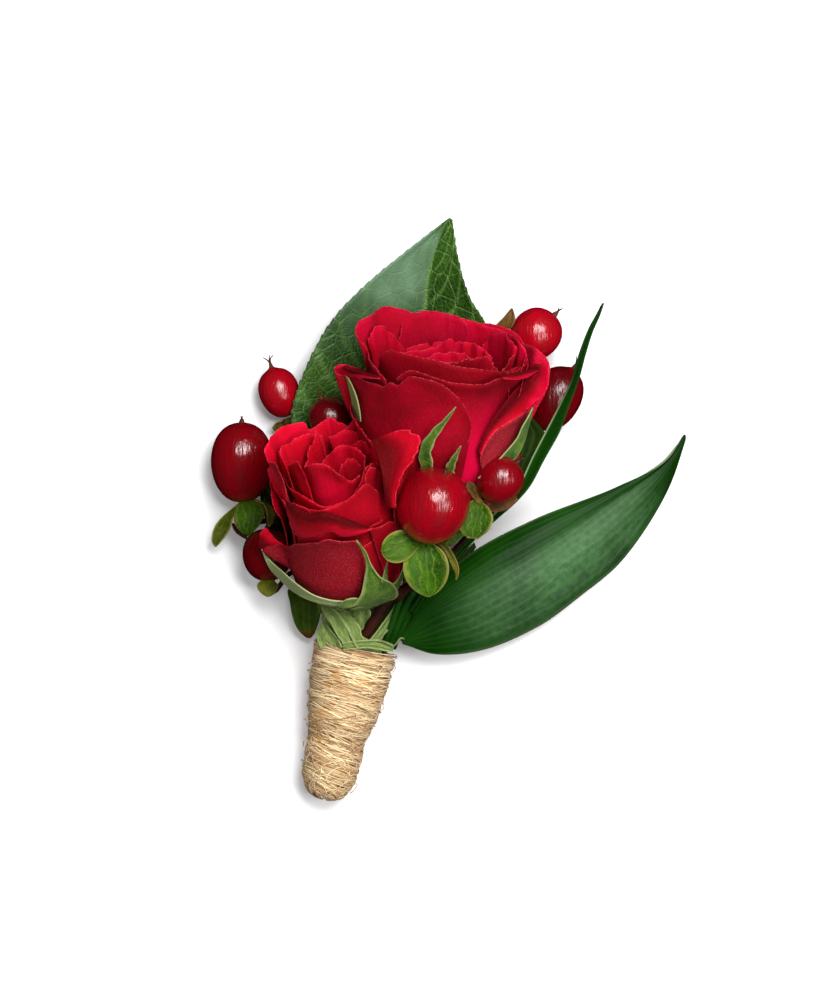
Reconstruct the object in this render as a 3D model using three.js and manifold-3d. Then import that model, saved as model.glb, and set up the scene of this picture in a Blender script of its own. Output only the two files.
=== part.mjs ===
// Boutonniere with two red roses, hypericum berries and mixed leaves, bound with twine, lying on its back.
// Millimetres. +X and +Y lie in the table, +Y runs from the handle to the flowers, +Z points up.
// The origin is on the flat underside of the twine wrap, where it lies against a lapel or a table.

import * as THREE from 'three';
import { mergeVertices } from 'three/addons/utils/BufferGeometryUtils.js';
import Module from 'manifold-3d';

const wasm = await Module();
wasm.setup();

// Driving dimensions
const BLADE = 0.6; // thickness of leaves and sepals
const PETAL = 0.65; // thickness of petals
const GAP = 0.3; // clearance between pieces that touch
const FINE = 0.04; // largest change of shape that merging short edges may bring
const PETAL_FINE = 0.12; // the same in the dense heads of petals
const WRAP_TOP = new THREE.Vector3(1.98, 9.54, 6.8); // middle of the handle's upper end
const WRAP_FOOT = new THREE.Vector3(-3.6, -17.1, 4.45); // middle of the handle's lower end
const WRAP_WALL = 1.2; // twine layer
const TAPE_WALL = 0.6; // tape layer
const TAPE_END = 16; // the tape's lower end, below the handle's upper end
const TWINE_TURNS = 12;
const TWINE_RELIEF = 0.22;

// Colours of the pieces
const FINISH = {
  upperPetals: new THREE.MeshStandardMaterial({ color: 0xa8031f, roughness: 0.62, metalness: 0 }),
  lowerPetals: new THREE.MeshStandardMaterial({ color: 0xb40522, roughness: 0.62, metalness: 0 }),
  calyx: new THREE.MeshStandardMaterial({ color: 0x4f7f2a, roughness: 0.6, metalness: 0 }),
  berry: new THREE.MeshStandardMaterial({ color: 0x8e0614, roughness: 0.16, metalness: 0 }),
  sepal: new THREE.MeshStandardMaterial({ color: 0x5f8f18, roughness: 0.5, metalness: 0 }),
  oliveSepal: new THREE.MeshStandardMaterial({ color: 0x5d6a20, roughness: 0.5, metalness: 0 }),
  twig: new THREE.MeshStandardMaterial({ color: 0x3a2414, roughness: 0.6, metalness: 0 }),
  salal: new THREE.MeshStandardMaterial({ color: 0x2b500e, roughness: 0.4, metalness: 0 }),
  ruscus: new THREE.MeshStandardMaterial({ color: 0x164404, roughness: 0.35, metalness: 0 }),
  darkLeaf: new THREE.MeshStandardMaterial({ color: 0x353710, roughness: 0.5, metalness: 0 }),
  tape: new THREE.MeshStandardMaterial({ color: 0x789048, roughness: 0.7, metalness: 0 }),
  twine: new THREE.MeshStandardMaterial({ color: 0xd9b98a, roughness: 0.85, metalness: 0 }),
};

const part = new THREE.Group();

// Small helpers

const vec = (x, y, z) => new THREE.Vector3(x, y, z);
const radians = THREE.MathUtils.degToRad;
const smooth = (from, to, x) => THREE.MathUtils.smoothstep(x, from, to);
const mix = THREE.MathUtils.lerp;

function curveThrough(points) {
  return new THREE.CatmullRomCurve3(points.map(([x, y, z]) => vec(x, y, z)), false, 'centripetal');
}

// Value of a table of [place, value] pairs at a place between them
function along(table, place) {
  for (let i = 1; i < table.length; i++) {
    const [from, low] = table[i - 1];
    const [to, high] = table[i];
    if (place <= to) {
      return mix(low, high, Math.max(0, place - from) / (to - from));
    }
  }
  return table[table.length - 1][1];
}

function solidOf(geometry) {
  const bare = geometry.clone();
  bare.deleteAttribute('normal');
  bare.deleteAttribute('uv');
  const merged = mergeVertices(bare, 1e-4);
  return new wasm.Manifold(new wasm.Mesh({
    numProp: 3,
    vertProperties: new Float32Array(merged.attributes.position.array),
    triVerts: new Uint32Array(merged.index.array),
  }));
}

function geometryOf(solid) {
  const mesh = solid.getMesh();
  const geometry = new THREE.BufferGeometry();
  geometry.setAttribute('position', new THREE.BufferAttribute(new Float32Array(mesh.vertProperties), 3));
  geometry.setIndex(new THREE.BufferAttribute(new Uint32Array(mesh.triVerts), 1));
  return geometry;
}

// The largest body of a solid: loose scraps fall away and sealed hollows are filled
function largestBody(solid) {
  const bodies = solid.decompose();
  return bodies.reduce((best, body) => (body.volume() > best.volume() ? body : best));
}

function fused(geometries, fineness = FINE) {
  const joined = wasm.Manifold.union(geometries.map(solidOf)).simplify(fineness);
  return geometryOf(largestBody(joined).simplify(fineness));
}

function addMesh(name, geometry, material) {
  const mesh = new THREE.Mesh(geometry, material);
  mesh.name = name;
  part.add(mesh);
  return mesh;
}

// A closed blade round the surface point(u, v), u from -1 to 1 across it and v from 0 to 1 along it
function sheet(point, across, lengthwise, thickness) {
  const columns = across + 1;
  const rows = lengthwise + 1;
  const middle = [];
  for (let j = 0; j < rows; j++) {
    for (let i = 0; i < columns; i++) {
      middle.push(point(-1 + (2 * i) / across, j / lengthwise));
    }
  }
  const clamp = THREE.MathUtils.clamp;
  const at = (i, j) => middle[clamp(j, 0, rows - 1) * columns + clamp(i, 0, columns - 1)];
  const positions = [];
  for (const side of [0.5, -0.5]) {
    for (let j = 0; j < rows; j++) {
      for (let i = 0; i < columns; i++) {
        const du = at(i + 1, j).clone().sub(at(i - 1, j));
        const dv = at(i, j + 1).clone().sub(at(i, j - 1));
        const normal = du.cross(dv).normalize();
        positions.push(...at(i, j).clone().addScaledVector(normal, side * thickness).toArray());
      }
    }
  }
  const back = rows * columns;
  const index = [];
  const quad = (a, b, c, d) => index.push(a, b, c, a, c, d);
  for (let j = 0; j < lengthwise; j++) {
    for (let i = 0; i < across; i++) {
      const a = j * columns + i;
      const [b, c, d] = [a + 1, a + 1 + columns, a + columns];
      index.push(a, b, c, a, c, d, back + a, back + c, back + b, back + a, back + d, back + c);
    }
  }
  for (let i = 0; i < across; i++) {
    const low = i;
    const high = lengthwise * columns + i;
    quad(low + 1, low, back + low, back + low + 1);
    quad(high, high + 1, back + high + 1, back + high);
  }
  for (let j = 0; j < lengthwise; j++) {
    const left = j * columns;
    const right = left + across;
    quad(left, left + columns, back + left + columns, back + left);
    quad(right + columns, right, back + right, back + right + columns);
  }
  const geometry = new THREE.BufferGeometry();
  geometry.setAttribute('position', new THREE.Float32BufferAttribute(positions, 3));
  geometry.setIndex(index);
  return geometry;
}

// A round stem through a list of points
function stem(points, radius, sides = 8, stepLength = 3) {
  const path = curveThrough(points);
  const section = new THREE.Shape();
  section.absarc(0, 0, radius, 0, Math.PI * 2);
  const outline = section.getSpacedPoints(sides).slice(0, sides);
  const steps = Math.max(3, Math.round(path.getLength() / stepLength));
  return new THREE.ExtrudeGeometry(new THREE.Shape(outline), { steps, extrudePath: path });
}

function lathe(profile, sides) {
  const geometry = new THREE.LatheGeometry(profile.map(([r, h]) => new THREE.Vector2(r, h)), sides);
  return geometry.rotateX(Math.PI / 2);
}

// Handle: places inside it are given by the distance below its upper end, and right and up from its middle

const WRAP_AXIS = WRAP_FOOT.clone().sub(WRAP_TOP);
const WRAP_LENGTH = WRAP_AXIS.length();
WRAP_AXIS.normalize();
const WRAP_RIGHT = WRAP_AXIS.clone().cross(vec(0, 0, 1)).normalize().negate();
const WRAP_UP = WRAP_AXIS.clone().cross(WRAP_RIGHT).normalize();
// Outer radius of the twine by distance below the upper end
const WRAP_RADIUS = [[0, 7.4], [5, 7.0], [9.5, 6.55], [13, 5.95], [17, 4.95], [20, 5.05], [24, 4.7], [26, 3.9]];

function inHandle(below, right, up) {
  const place = WRAP_TOP.clone().addScaledVector(WRAP_AXIS, below);
  return place.addScaledVector(WRAP_RIGHT, right).addScaledVector(WRAP_UP, up);
}

function handlePath(top, end) {
  const [endBelow, endRight, endUp] = end;
  const points = [
    inHandle(endBelow, endRight, endUp),
    inHandle(endBelow / 2, (top[0] + endRight) / 2, (top[1] + endUp) / 2),
    inHandle(0, top[0], top[1]),
  ];
  return points.map((point) => point.toArray());
}

// Roses. In a bloom's own frame Z runs up its axis, X to the right and Y to its far side.

const UPPER_ROSE = {
  base: vec(21.06, 35.1, 10),
  rim: vec(18.36, 63.0, 22.4),
  stemInHandle: { top: [1.7, 0.9], end: [22, 1.3, 0] },
};
const LOWER_ROSE = {
  base: vec(4.0, 20.3, 8.2),
  rim: vec(-2.3, 44.4, 28.4),
  stemInHandle: { top: [-1.7, 1.3], end: [19, -1.4, 0.3] },
};

function bloomFrame(rose) {
  const axis = rose.rim.clone().sub(rose.base).normalize();
  const right = vec(1, 0, 0).addScaledVector(axis, -axis.x).normalize();
  const far = axis.clone().cross(right);
  return new THREE.Matrix4().makeBasis(right, far, axis).setPosition(rose.base);
}

// Rise of a petal's middle line from level, in radians, at a place between its root and its lip
function petalRise(petal, place, roll) {
  const cup = mix(petal.start, petal.lean, smooth(0, petal.cup, place));
  return radians(cup - roll * smooth(petal.rollFrom, 1, place));
}

function petalPoint(petal, u, v) {
  const reach = v * (1 - petal.shoulder * Math.abs(u) ** 2.6);
  const roll = petal.roll * (1 + 0.35 * u * u);
  const steps = 12;
  const step = (petal.length * reach) / steps;
  let radius = petal.root;
  let height = petal.seat;
  for (let i = 0; i < steps; i++) {
    const rise = petalRise(petal, ((i + 0.5) / steps) * reach, roll);
    radius += Math.cos(rise) * step;
    height += Math.sin(rise) * step;
  }
  radius += petal.tuck * u * smooth(0.15, 0.6, v);
  height += 0.5 * Math.sin(u * 7 + petal.phase) * v ** 4;
  const angle = radians(petal.angle + petal.spread * u);
  return vec(radius * Math.cos(angle), radius * Math.sin(angle), height);
}

function petalSheet(petal) {
  return sheet((u, v) => petalPoint(petal, u, v), petal.grid[0], petal.grid[1], PETAL);
}

// A ring of like petals, each turned on from the last
function petalRing(count, firstAngle, shape) {
  return Array.from({ length: count }, (_, i) => ({
    ...shape,
    angle: firstAngle + (360 / count) * i,
    phase: i * 2.1,
  }));
}

const BUD = { grid: [3, 2], root: 2.2, seat: 16, length: 13, start: 85, cup: 0.3, lean: 92, roll: 10,
  rollFrom: 0.7, spread: 72, shoulder: 0.16, tuck: 0.6, phase: 0 };
const HEART = { grid: [3, 3], root: 4.6, seat: 15, length: 15, start: 80, cup: 0.3, lean: 90, roll: 50,
  rollFrom: 0.6, spread: 68, shoulder: 0.2, tuck: 0.7, phase: 0 };

const UPPER_GUARD = { grid: [4, 4], root: 2.4, seat: 1, length: 38, start: 9, cup: 0.33, lean: 80, roll: 85,
  rollFrom: 0.82, spread: 44, shoulder: 0.1, tuck: 0.6, phase: 0 };
const UPPER_NARROW = { ...UPPER_GUARD, start: 28, cup: 0.25, lean: 74, length: 37 };
const LOWER_GUARD = { grid: [4, 4], root: 2.4, seat: 1, length: 31, start: 10, cup: 0.34, lean: 84, roll: 75,
  rollFrom: 0.76, spread: 44, shoulder: 0.14, tuck: 0.7, phase: 0 };

function upperRosePetals() {
  const inner = { grid: [3, 3], root: 6.8, seat: 14, length: 19, start: 80, cup: 0.3, lean: 87, roll: 50,
    rollFrom: 0.6, spread: 54, shoulder: 0.2, tuck: 0.7 };
  const outer = { grid: [4, 4], root: 7.4, seat: 9, length: 25, start: 62, cup: 0.4, lean: 84, roll: 62,
    rollFrom: 0.72, spread: 43, shoulder: 0.16, tuck: 0.7 };
  return [
    ...petalRing(3, 20, BUD),
    ...petalRing(3, 60, HEART),
    ...petalRing(4, 10, inner),
    ...petalRing(5, 44, outer),
    { ...UPPER_GUARD, angle: -128, spread: 52 },
    { ...UPPER_NARROW, angle: -56, phase: 1.4 },
    { ...UPPER_NARROW, angle: 4, phase: 2.8 },
    { ...UPPER_GUARD, angle: 82, phase: 3.9, length: 36, roll: 60 },
    { ...UPPER_GUARD, angle: 160, phase: 5.2 },
  ];
}

function lowerRosePetals() {
  const inner = { grid: [3, 3], root: 6.4, seat: 14, length: 18, start: 84, cup: 0.3, lean: 89, roll: 40,
    rollFrom: 0.64, spread: 54, shoulder: 0.2, tuck: 0.7 };
  const outer = { grid: [4, 4], root: 7.2, seat: 9, length: 22.5, start: 74, cup: 0.35, lean: 87, roll: 55,
    rollFrom: 0.72, spread: 43, shoulder: 0.16, tuck: 0.5 };
  const narrow = { ...LOWER_GUARD, start: 22, cup: 0.28, lean: 86, rollFrom: 0.8, tuck: 0.5 };
  return [
    ...petalRing(3, -30, BUD),
    ...petalRing(3, 10, HEART),
    ...petalRing(4, 40, inner),
    ...petalRing(5, 12, outer),
    { ...LOWER_GUARD, angle: -78, phase: 0.6, length: 25, spread: 50 },
    { ...LOWER_GUARD, angle: -142, phase: 2.2, length: 24, lean: 70 },
    { ...LOWER_GUARD, angle: 150, phase: 3.1 },
    { ...narrow, angle: 80, phase: 4.4, length: 30, roll: 55 },
    { ...narrow, angle: 8, phase: 5.5, roll: 90 },
  ];
}

const UPPER_CORE = [[0, 0.2], [3.2, 0.4], [6.4, 4], [8.4, 9], [8.8, 13], [7.5, 16.5], [4, 18], [0, 18.4]];
const LOWER_CORE = [[0, 0.2], [3.6, 0.4], [7.4, 3.6], [8.4, 8], [8.4, 13.5], [7.0, 17], [4, 18.4], [0, 18.8]];

function roseHead(petals, core) {
  return fused([lathe(core, 12), ...petals.map(petalSheet)], PETAL_FINE);
}

// Calyx: hip, sepals that lie along the bloom, and the stem down into the handle

// Distance from the bloom's axis at which sepals lie against its outer petals, by height above its base
function sepalSeat(guard) {
  const clearance = guard.tuck + PETAL / 2 + GAP + BLADE / 2;
  const climb = Array.from({ length: 13 }, (_, i) => petalPoint(guard, 0, (i / 12) * guard.rollFrom));
  return [[-1.6, 1.8], ...climb.map((point) => [point.z - 0.8, point.x + clearance])];
}

function sepalAlong(seat, sepal) {
  return sheet((u, v) => {
    const height = mix(-1.6, sepal.length, v);
    const radius = along(seat, height) + sepal.stand * smooth(0.35, 1, v);
    const half = 0.3 + sepal.width * Math.sin(Math.PI * Math.min(1, 0.22 + 0.78 * v)) ** 0.8;
    const angle = radians(sepal.angle + sepal.sway * v * v) + (u * half) / Math.max(radius, 3);
    return vec(radius * Math.cos(angle), radius * Math.sin(angle), height);
  }, 2, 5, BLADE);
}

function calyxGeometry(rose, guard, sepals, bend) {
  const frame = bloomFrame(rose);
  const profile = [[0, -5], [1.3, -4.9], [2.5, -3.8], [2.8, -2.6], [2.3, -1.6], [3, -1], [3, -GAP], [0, -GAP]];
  const seatUnder = (sepal) => sepalSeat({ ...guard, ...sepal.under, angle: 0 });
  const pieces = [lathe(profile, 10), ...sepals.map((sepal) => sepalAlong(seatUnder(sepal), sepal))];
  pieces.forEach((piece) => piece.applyMatrix4(frame));
  const foot = vec(0, 0, -4).applyMatrix4(frame).toArray();
  const { top, end } = rose.stemInHandle;
  return fused([...pieces, stem([...handlePath(top, end), ...bend, foot], 1.15, 6)]);
}

function roses() {
  const upper = roseHead(upperRosePetals(), UPPER_CORE).applyMatrix4(bloomFrame(UPPER_ROSE));
  addMesh('rose_upper_petals', upper, FINISH.upperPetals);
  const upperSepals = [
    { angle: -122, length: 23, width: 1.2, stand: 0, sway: 30 },
    { angle: -96, length: 15, width: 0.7, stand: 0.3, sway: 8 },
    { angle: -10, length: 18, width: 1.1, stand: 1.6, sway: 6, under: UPPER_NARROW },
    { angle: 75, length: 7, width: 1.1, stand: 0, sway: 0 },
    { angle: 178, length: 24, width: 1.1, stand: 0.8, sway: -4 },
  ];
  const upperBend = [[9.2, 16.6, 7.2], [16.6, 27.2, 7.6]];
  const upperCalyx = calyxGeometry(UPPER_ROSE, UPPER_GUARD, upperSepals, upperBend);
  addMesh('rose_upper_calyx', upperCalyx, FINISH.calyx);
  const lower = roseHead(lowerRosePetals(), LOWER_CORE).applyMatrix4(bloomFrame(LOWER_ROSE));
  addMesh('rose_lower_petals', lower, FINISH.lowerPetals);
  const lowerSepals = [
    { angle: -80, length: 15, width: 1.5, stand: 0.6, sway: -8 },
    { angle: -60, length: 7, width: 1.1, stand: 0.8, sway: 0 },
    { angle: -128, length: 10, width: 1.3, stand: 1.0, sway: -50 },
    { angle: 120, length: 9, width: 1.1, stand: 0, sway: 0 },
    { angle: 40, length: 9, width: 1.2, stand: 0.3, sway: 0 },
  ];
  addMesh('rose_lower_calyx', calyxGeometry(LOWER_ROSE, LOWER_GUARD, lowerSepals, []), FINISH.calyx);
}

// Hypericum berries. towards is the way from the berry's foot to its dried style.

const BERRIES = [
  { at: [-11.8, 55.3, 3.6], size: [3.7, 4.5], towards: [-0.31, 0.95, 0.05], sepals: [
    [-14.8, 48.6, 2.2, 2.6], [-9.4, 46.9, 1.6, 2.6], [-7.2, 48.8, 3.6, 2.0]] },
  { at: [-18.6, 42.75, 5.7], size: [5.6, 7.2], towards: [0, 1, 0.08], sepals: [
    [-23.6, 28.6, 4.6, 3.0], [-17.4, 29.4, 8.4, 3.4], [-13.0, 33.6, 9.6, 2.6]] },
  { at: [-2.5, 50.4, 9.6], size: [3.9, 4.3], towards: [-0.415, 0.91, 0.2], sepals: [
    [-5.1, 44.6, 8.8, 2.2], [3.0, 44.8, 8.4, 2.2]] },
  { at: [34.2, 65.7, 6.4], size: [4.5, 5.0], towards: [0.69, 0.72, 0.12], sepals: [
    [26.4, 65.6, 7.4, 2.8], [32.8, 57.0, 3.0, 2.4], [25.8, 61.6, 6.0, 2.4]] },
  { at: [37.8, 54.2, 5.6], size: [4.6, 6.1], towards: [0.51, 0.86, 0.05], sepals: [
    [30.2, 47.2, 7.0, 2.6], [38.0, 42.8, 5.0, 2.6]] },
  { at: [15.84, 34.9, 29.4], size: [6.5, 6.9], towards: [0.31, 0.85, 0.42], sepals: [
    [7.6, 27.2, 29.4, 4.2], [14.6, 18.7, 25.6, 6.0], [20.4, 21.6, 24.6, 2.2]] },
  { at: [27.8, 39.6, 23.6], size: [4.1, 4.4], towards: [0.7, 0.7, 0.12], sepals: [
    [24.0, 29.0, 23.8, 3.9], [30.9, 32.8, 21.2, 2.3], [21.5, 35.3, 23.3, 2.1]] },
  { at: [-14.0, 26.1, 7.0], size: [4.5, 4.7], towards: [0, 1, 0], sepals: [
    [-14.4, 18.7, 9.6, 3.4], [-17.6, 20.0, 7.8, 2.6], [-10.6, 19.6, 9.4, 2.6]] },
];

function berryFrame(berry) {
  const turn = new THREE.Quaternion().setFromUnitVectors(vec(0, 0, 1), vec(...berry.towards).normalize());
  return new THREE.Matrix4().compose(vec(...berry.at), turn, vec(1, 1, 1));
}

// An egg, a little fuller at its foot, with the stub of the style at its tip and two short stigmas
function berryGeometry(berry) {
  const [radius, half] = berry.size;
  const rings = 6;
  const profile = Array.from({ length: rings + 1 }, (_, i) => {
    const turn = (Math.PI * i) / rings - Math.PI / 2;
    const full = 1 - 0.07 * Math.sin(turn);
    return [i === 0 || i === rings ? 0 : radius * full * Math.cos(turn), half * Math.sin(turn)];
  });
  const neck = lathe([[0, half - 1], [0.8, half - 1], [0.5, half + 1], [0, half + 1.2]], 5);
  const stigmas = [-1, 1].map((side) => {
    const tip = [1.3 * side, 0.4, half + 2.5];
    return stem([[0, 0, half + 0.4], [0.3 * side, 0.1, half + 1.4], tip], 0.3, 4, 2);
  });
  return fused([lathe(profile, 12), neck, ...stigmas]).applyMatrix4(berryFrame(berry));
}

function berryFoot(berry, beyond) {
  const towards = vec(...berry.towards).normalize();
  return vec(...berry.at).addScaledVector(towards, -berry.size[1] - beyond);
}

// A rounded sepal from the rim of the berry's foot to its tip, arched and slightly cupped
function sepalTo(berry, foot, [x, y, z, width]) {
  const tip = vec(x, y, z);
  const towards = vec(...berry.towards).normalize();
  const outward = tip.clone().sub(foot);
  outward.addScaledVector(towards, -outward.dot(towards)).normalize();
  const start = foot.clone().addScaledVector(outward, 1.1).addScaledVector(towards, -0.2);
  const run = tip.clone().sub(start);
  const side = run.clone().cross(vec(0, 0, 1)).normalize();
  return sheet((u, v) => {
    const half = 0.25 + (width / 2) * Math.sin(Math.PI * (0.16 + 0.84 * v)) ** 0.7;
    const place = start.clone().addScaledVector(run, v).addScaledVector(outward, Math.sin(Math.PI * v));
    place.z += 0.35 * u * u;
    return place.addScaledVector(side, u * half);
  }, 2, 3, BLADE);
}

function whorlGeometry(berry) {
  const foot = berryFoot(berry, GAP + 0.8);
  const disc = lathe([[0, -0.7], [0.9, -0.7], [1.4, 0], [0.9, 0.6], [0, 0.6]], 7);
  const turn = new THREE.Quaternion().setFromUnitVectors(vec(0, 0, 1), vec(...berry.towards).normalize());
  disc.applyMatrix4(new THREE.Matrix4().compose(foot, turn, vec(1, 1, 1)));
  return fused([disc, ...berry.sepals.map((sepal) => sepalTo(berry, foot, sepal))], 2 * FINE);
}

function berries() {
  const olive = [0, 1, 3];
  BERRIES.forEach((berry, i) => {
    addMesh(`berry_${i + 1}`, berryGeometry(berry), FINISH.berry);
    const finish = olive.includes(i) ? FINISH.oliveSepal : FINISH.sepal;
    addMesh(`berry_${i + 1}_sepals`, whorlGeometry(berry), finish);
  });
}

// Twigs come straight up to the berries' sepals and end just under them

function twigEnd(number) {
  const end = GAP * 2 + 1.5;
  return [end + 1.2, end].map((beyond) => berryFoot(BERRIES[number - 1], beyond).toArray());
}

function twigs() {
  const left = handlePath([-3.8, -0.9], [11, -3.0, -0.9]);
  const [leftFork, upperFork] = [[-8.2, 25.4, 4.9], [-10.8, 33.4, 4.8]];
  addMesh('hypericum_twig_left', fused([
    stem([...left, [-1.3, 16.2, 5.5], [-2.4, 19.6, 5.2], leftFork, upperFork], 0.85, 6),
    stem([[-9.8, 30.6, 4.9], upperFork, [-12.2, 41, 3.4], ...twigEnd(1)], 0.6, 6),
    stem([upperFork, [-14.6, 32.2, 4.2], ...twigEnd(2)], 0.5, 6),
    stem([[-6.0, 22.8, 5.1], leftFork, [-7.4, 33, 6.0], [-3.0, 41, 6.8], ...twigEnd(3)], 0.55, 6),
    stem([[-4.6, 21.2, 5.1], [-9.8, 20.9, 3.4], [-13.6, 18.1, 5.0], ...twigEnd(8)], 0.5, 6),
  ]), FINISH.twig);
  const front = handlePath([0.2, 3.7], [10, 0.15, 3.2]);
  const frontFork = [12.0, 20.8, 15.4];
  addMesh('hypericum_twig_front', fused([
    stem([...front, [5.4, 13.6, 11.8], frontFork, [13.4, 23.8, 20.2]], 0.95, 6),
    stem([frontFork, [13.4, 23.8, 20.2], ...twigEnd(6)], 0.7, 6),
    stem([[9.4, 18, 14], frontFork, [17.4, 28.4, 17.6], ...twigEnd(7)], 0.6, 6),
  ]), FINISH.twig);
  const right = handlePath([3.4, -1.9], [9, 3.0, -1.7]);
  const rightFork = [29.5, 38.5, 3.8];
  addMesh('hypericum_twig_right', fused([
    stem([...right, [8.4, 15.6, 4.6], [20, 27, 3.8], rightFork, ...twigEnd(5)], 0.7, 6),
    stem([[26, 34.4, 3.8], rightFork, [29.6, 46, 3.9], ...twigEnd(4)], 0.6, 6),
  ]), FINISH.twig);
}

// Leaves: a surface between a middle line and two edges, all run from stalk to tip

function leafPoint(leaf) {
  const middle = curveThrough(leaf.middle);
  const edges = [curveThrough(leaf.left), curveThrough(leaf.right)];
  return (u, v) => {
    const centre = middle.getPointAt(v);
    const edge = edges[u < 0 ? 0 : 1].getPointAt(v);
    const out = Math.abs(u);
    const place = centre.clone().lerp(edge, out);
    place.z = mix(centre.z, edge.z, out ** leaf.fold);
    place.z += leaf.puff * Math.sin(Math.PI * out) * Math.sin(Math.PI * v);
    return place;
  };
}

function leafSheet(leaf) {
  return sheet(leafPoint(leaf), leaf.grid[0], leaf.grid[1], BLADE);
}

// Tooth on every second row of the edge, which points to the tip
function toothed(point, rows, depth) {
  return (u, v) => {
    const place = point(u, v);
    const row = Math.round(v * rows);
    if (Math.abs(u) === 1 && row % 2 === 1 && row < rows) {
      const inward = point(u * 0.9, v);
      place.add(place.clone().sub(inward).setZ(0).normalize().multiplyScalar(depth));
    }
    return place;
  };
}

const SALAL = {
  middle: [[8.1, 35.1, 2.2], [10.3, 50.4, 0.45], [12.6, 62.1, 0.45], [14.3, 70.6, 1.5], [15.1, 76.7, 3.0],
    [17.3, 83.7, 5.6], [19.1, 86.6, 7]],
  left: [[7.8, 35.2, 2.2], [2.0, 37.0, 2.8], [-4.5, 40.8, 4.4], [-8.8, 46, 6.2], [-9.6, 51, 6.9],
    [-7.6, 58.2, 7.1], [-2.7, 67.7, 7.3], [3.6, 74.5, 7.3], [11.7, 81.2, 7.3], [18.9, 86.8, 7.1]],
  right: [[8.4, 35.0, 2.2], [15.3, 38.0, 2.4], [21.6, 44.4, 1.8], [26.2, 52.6, 1.9], [27.2, 60.0, 2.5],
    [25.6, 67.0, 4.2], [22.3, 72.7, 5.8], [20.2, 80.1, 6.8], [19.3, 86.5, 7.0]],
  fold: 1.15,
  puff: 0,
  grid: [4, 42],
};
const RUSCUS = {
  middle: [[10.2, 10.6, 7.2], [15.6, 15.2, 8.6], [26.5, 21.2, 9.6], [38.2, 28.4, 8.8], [50.4, 37.2, 5.6],
    [57.6, 42.6, 2.6], [61.3, 47.6, 0.9]],
  left: [[10.0, 11.0, 7.2], [13.1, 17.3, 7.6], [21.8, 25.8, 7.8], [33.8, 32.4, 8.0], [48.6, 38.2, 5.6],
    [57.1, 42.7, 3.4], [61.2, 47.8, 0.9]],
  right: [[10.4, 10.2, 7.0], [16.2, 8.3, 6.2], [24.7, 9.0, 5.0], [35, 13.4, 3.4], [42.4, 18.8, 2.0],
    [49.8, 25.1, 0.6], [57.8, 37.2, 0.2], [61.4, 47.4, 0.8]],
  fold: 1.6,
  puff: 0.5,
  grid: [4, 16],
};
const BLADE_LEAF = {
  ridge: [[11.6, 16.0, 12.2], [20.2, 25.6, 14.2], [26.6, 31.9, 15.4], [31.9, 37.6, 16.2], [35.3, 42.0, 16.8],
    [39.1, 50.2, 17.6], [41.6, 57, 18.0], [44.3, 65, 18.4], [46.4, 71.5, 18.6]],
  depth: 4.2,
  halfWidth: 1.5,
};
const DARK_LEAF = {
  middle: [[-8.0, 19.9, 3.6], [-7.6, 17.0, 3.7], [-7.0, 14.0, 3.4], [-6.6, 11.2, 2.8]],
  left: [[-8.3, 19.9, 3.6], [-9.8, 17.4, 4.4], [-8.6, 14.0, 3.8], [-6.8, 11.2, 2.8]],
  right: [[-7.7, 19.9, 3.6], [-4.9, 17.0, 4.2], [-5.0, 13.8, 3.7], [-6.4, 11.2, 2.8]],
  fold: 1.3,
  puff: 0.1,
  grid: [4, 8],
};

function toothedLeaf(leaf, depth) {
  return sheet(toothed(leafPoint(leaf), leaf.grid[1], depth), leaf.grid[0], leaf.grid[1], BLADE);
}

// A folded leaf that stands on edge, ridge up, with both halves hanging down from it
function foldedLeaf(leaf) {
  const ridge = curveThrough(leaf.ridge);
  return sheet((u, v) => {
    const place = ridge.getPointAt(v);
    const side = ridge.getTangentAt(v).cross(vec(0, 0, 1)).normalize();
    const full = 0.12 + 0.88 * Math.sin(Math.PI * Math.min(1, 0.18 + 0.82 * v)) ** 0.7;
    place.addScaledVector(side, u * leaf.halfWidth * full);
    place.z -= Math.abs(u) * leaf.depth * full;
    return place;
  }, 2, 16, BLADE);
}

function leaves() {
  const salalBend = [[4.4, 17, 3.0], [6.4, 26, 2.0], [8.2, 36.6, 1.9]];
  const salalStalk = [...handlePath([0, -3.4], [15, 0, -2.2]), ...salalBend];
  const salal = [toothedLeaf(SALAL, 0.55), stem(salalStalk, 0.75)];
  addMesh('salal_leaf', fused(salal), FINISH.salal);
  const ruscusStalk = [...handlePath([4.2, 0.4], [11, 3.2, 0.3]), [8.6, 10.6, 7.1], [12.2, 12.2, 7.7]];
  addMesh('ruscus_leaf', fused([leafSheet(RUSCUS), stem(ruscusStalk, 0.6)]), FINISH.ruscus);
  const bladeStalk = [...handlePath([3.1, 2.9], [9, 2.7, 2.3]), [8.2, 12.4, 10.8], [13, 17.6, 12.0]];
  addMesh('ruscus_blade', fused([foldedLeaf(BLADE_LEAF), stem(bladeStalk, 0.6)]), FINISH.ruscus);
  addMesh('dark_leaf', leafSheet(DARK_LEAF), FINISH.darkLeaf);
}

// Tape and twine: skins round the handle's axis

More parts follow.
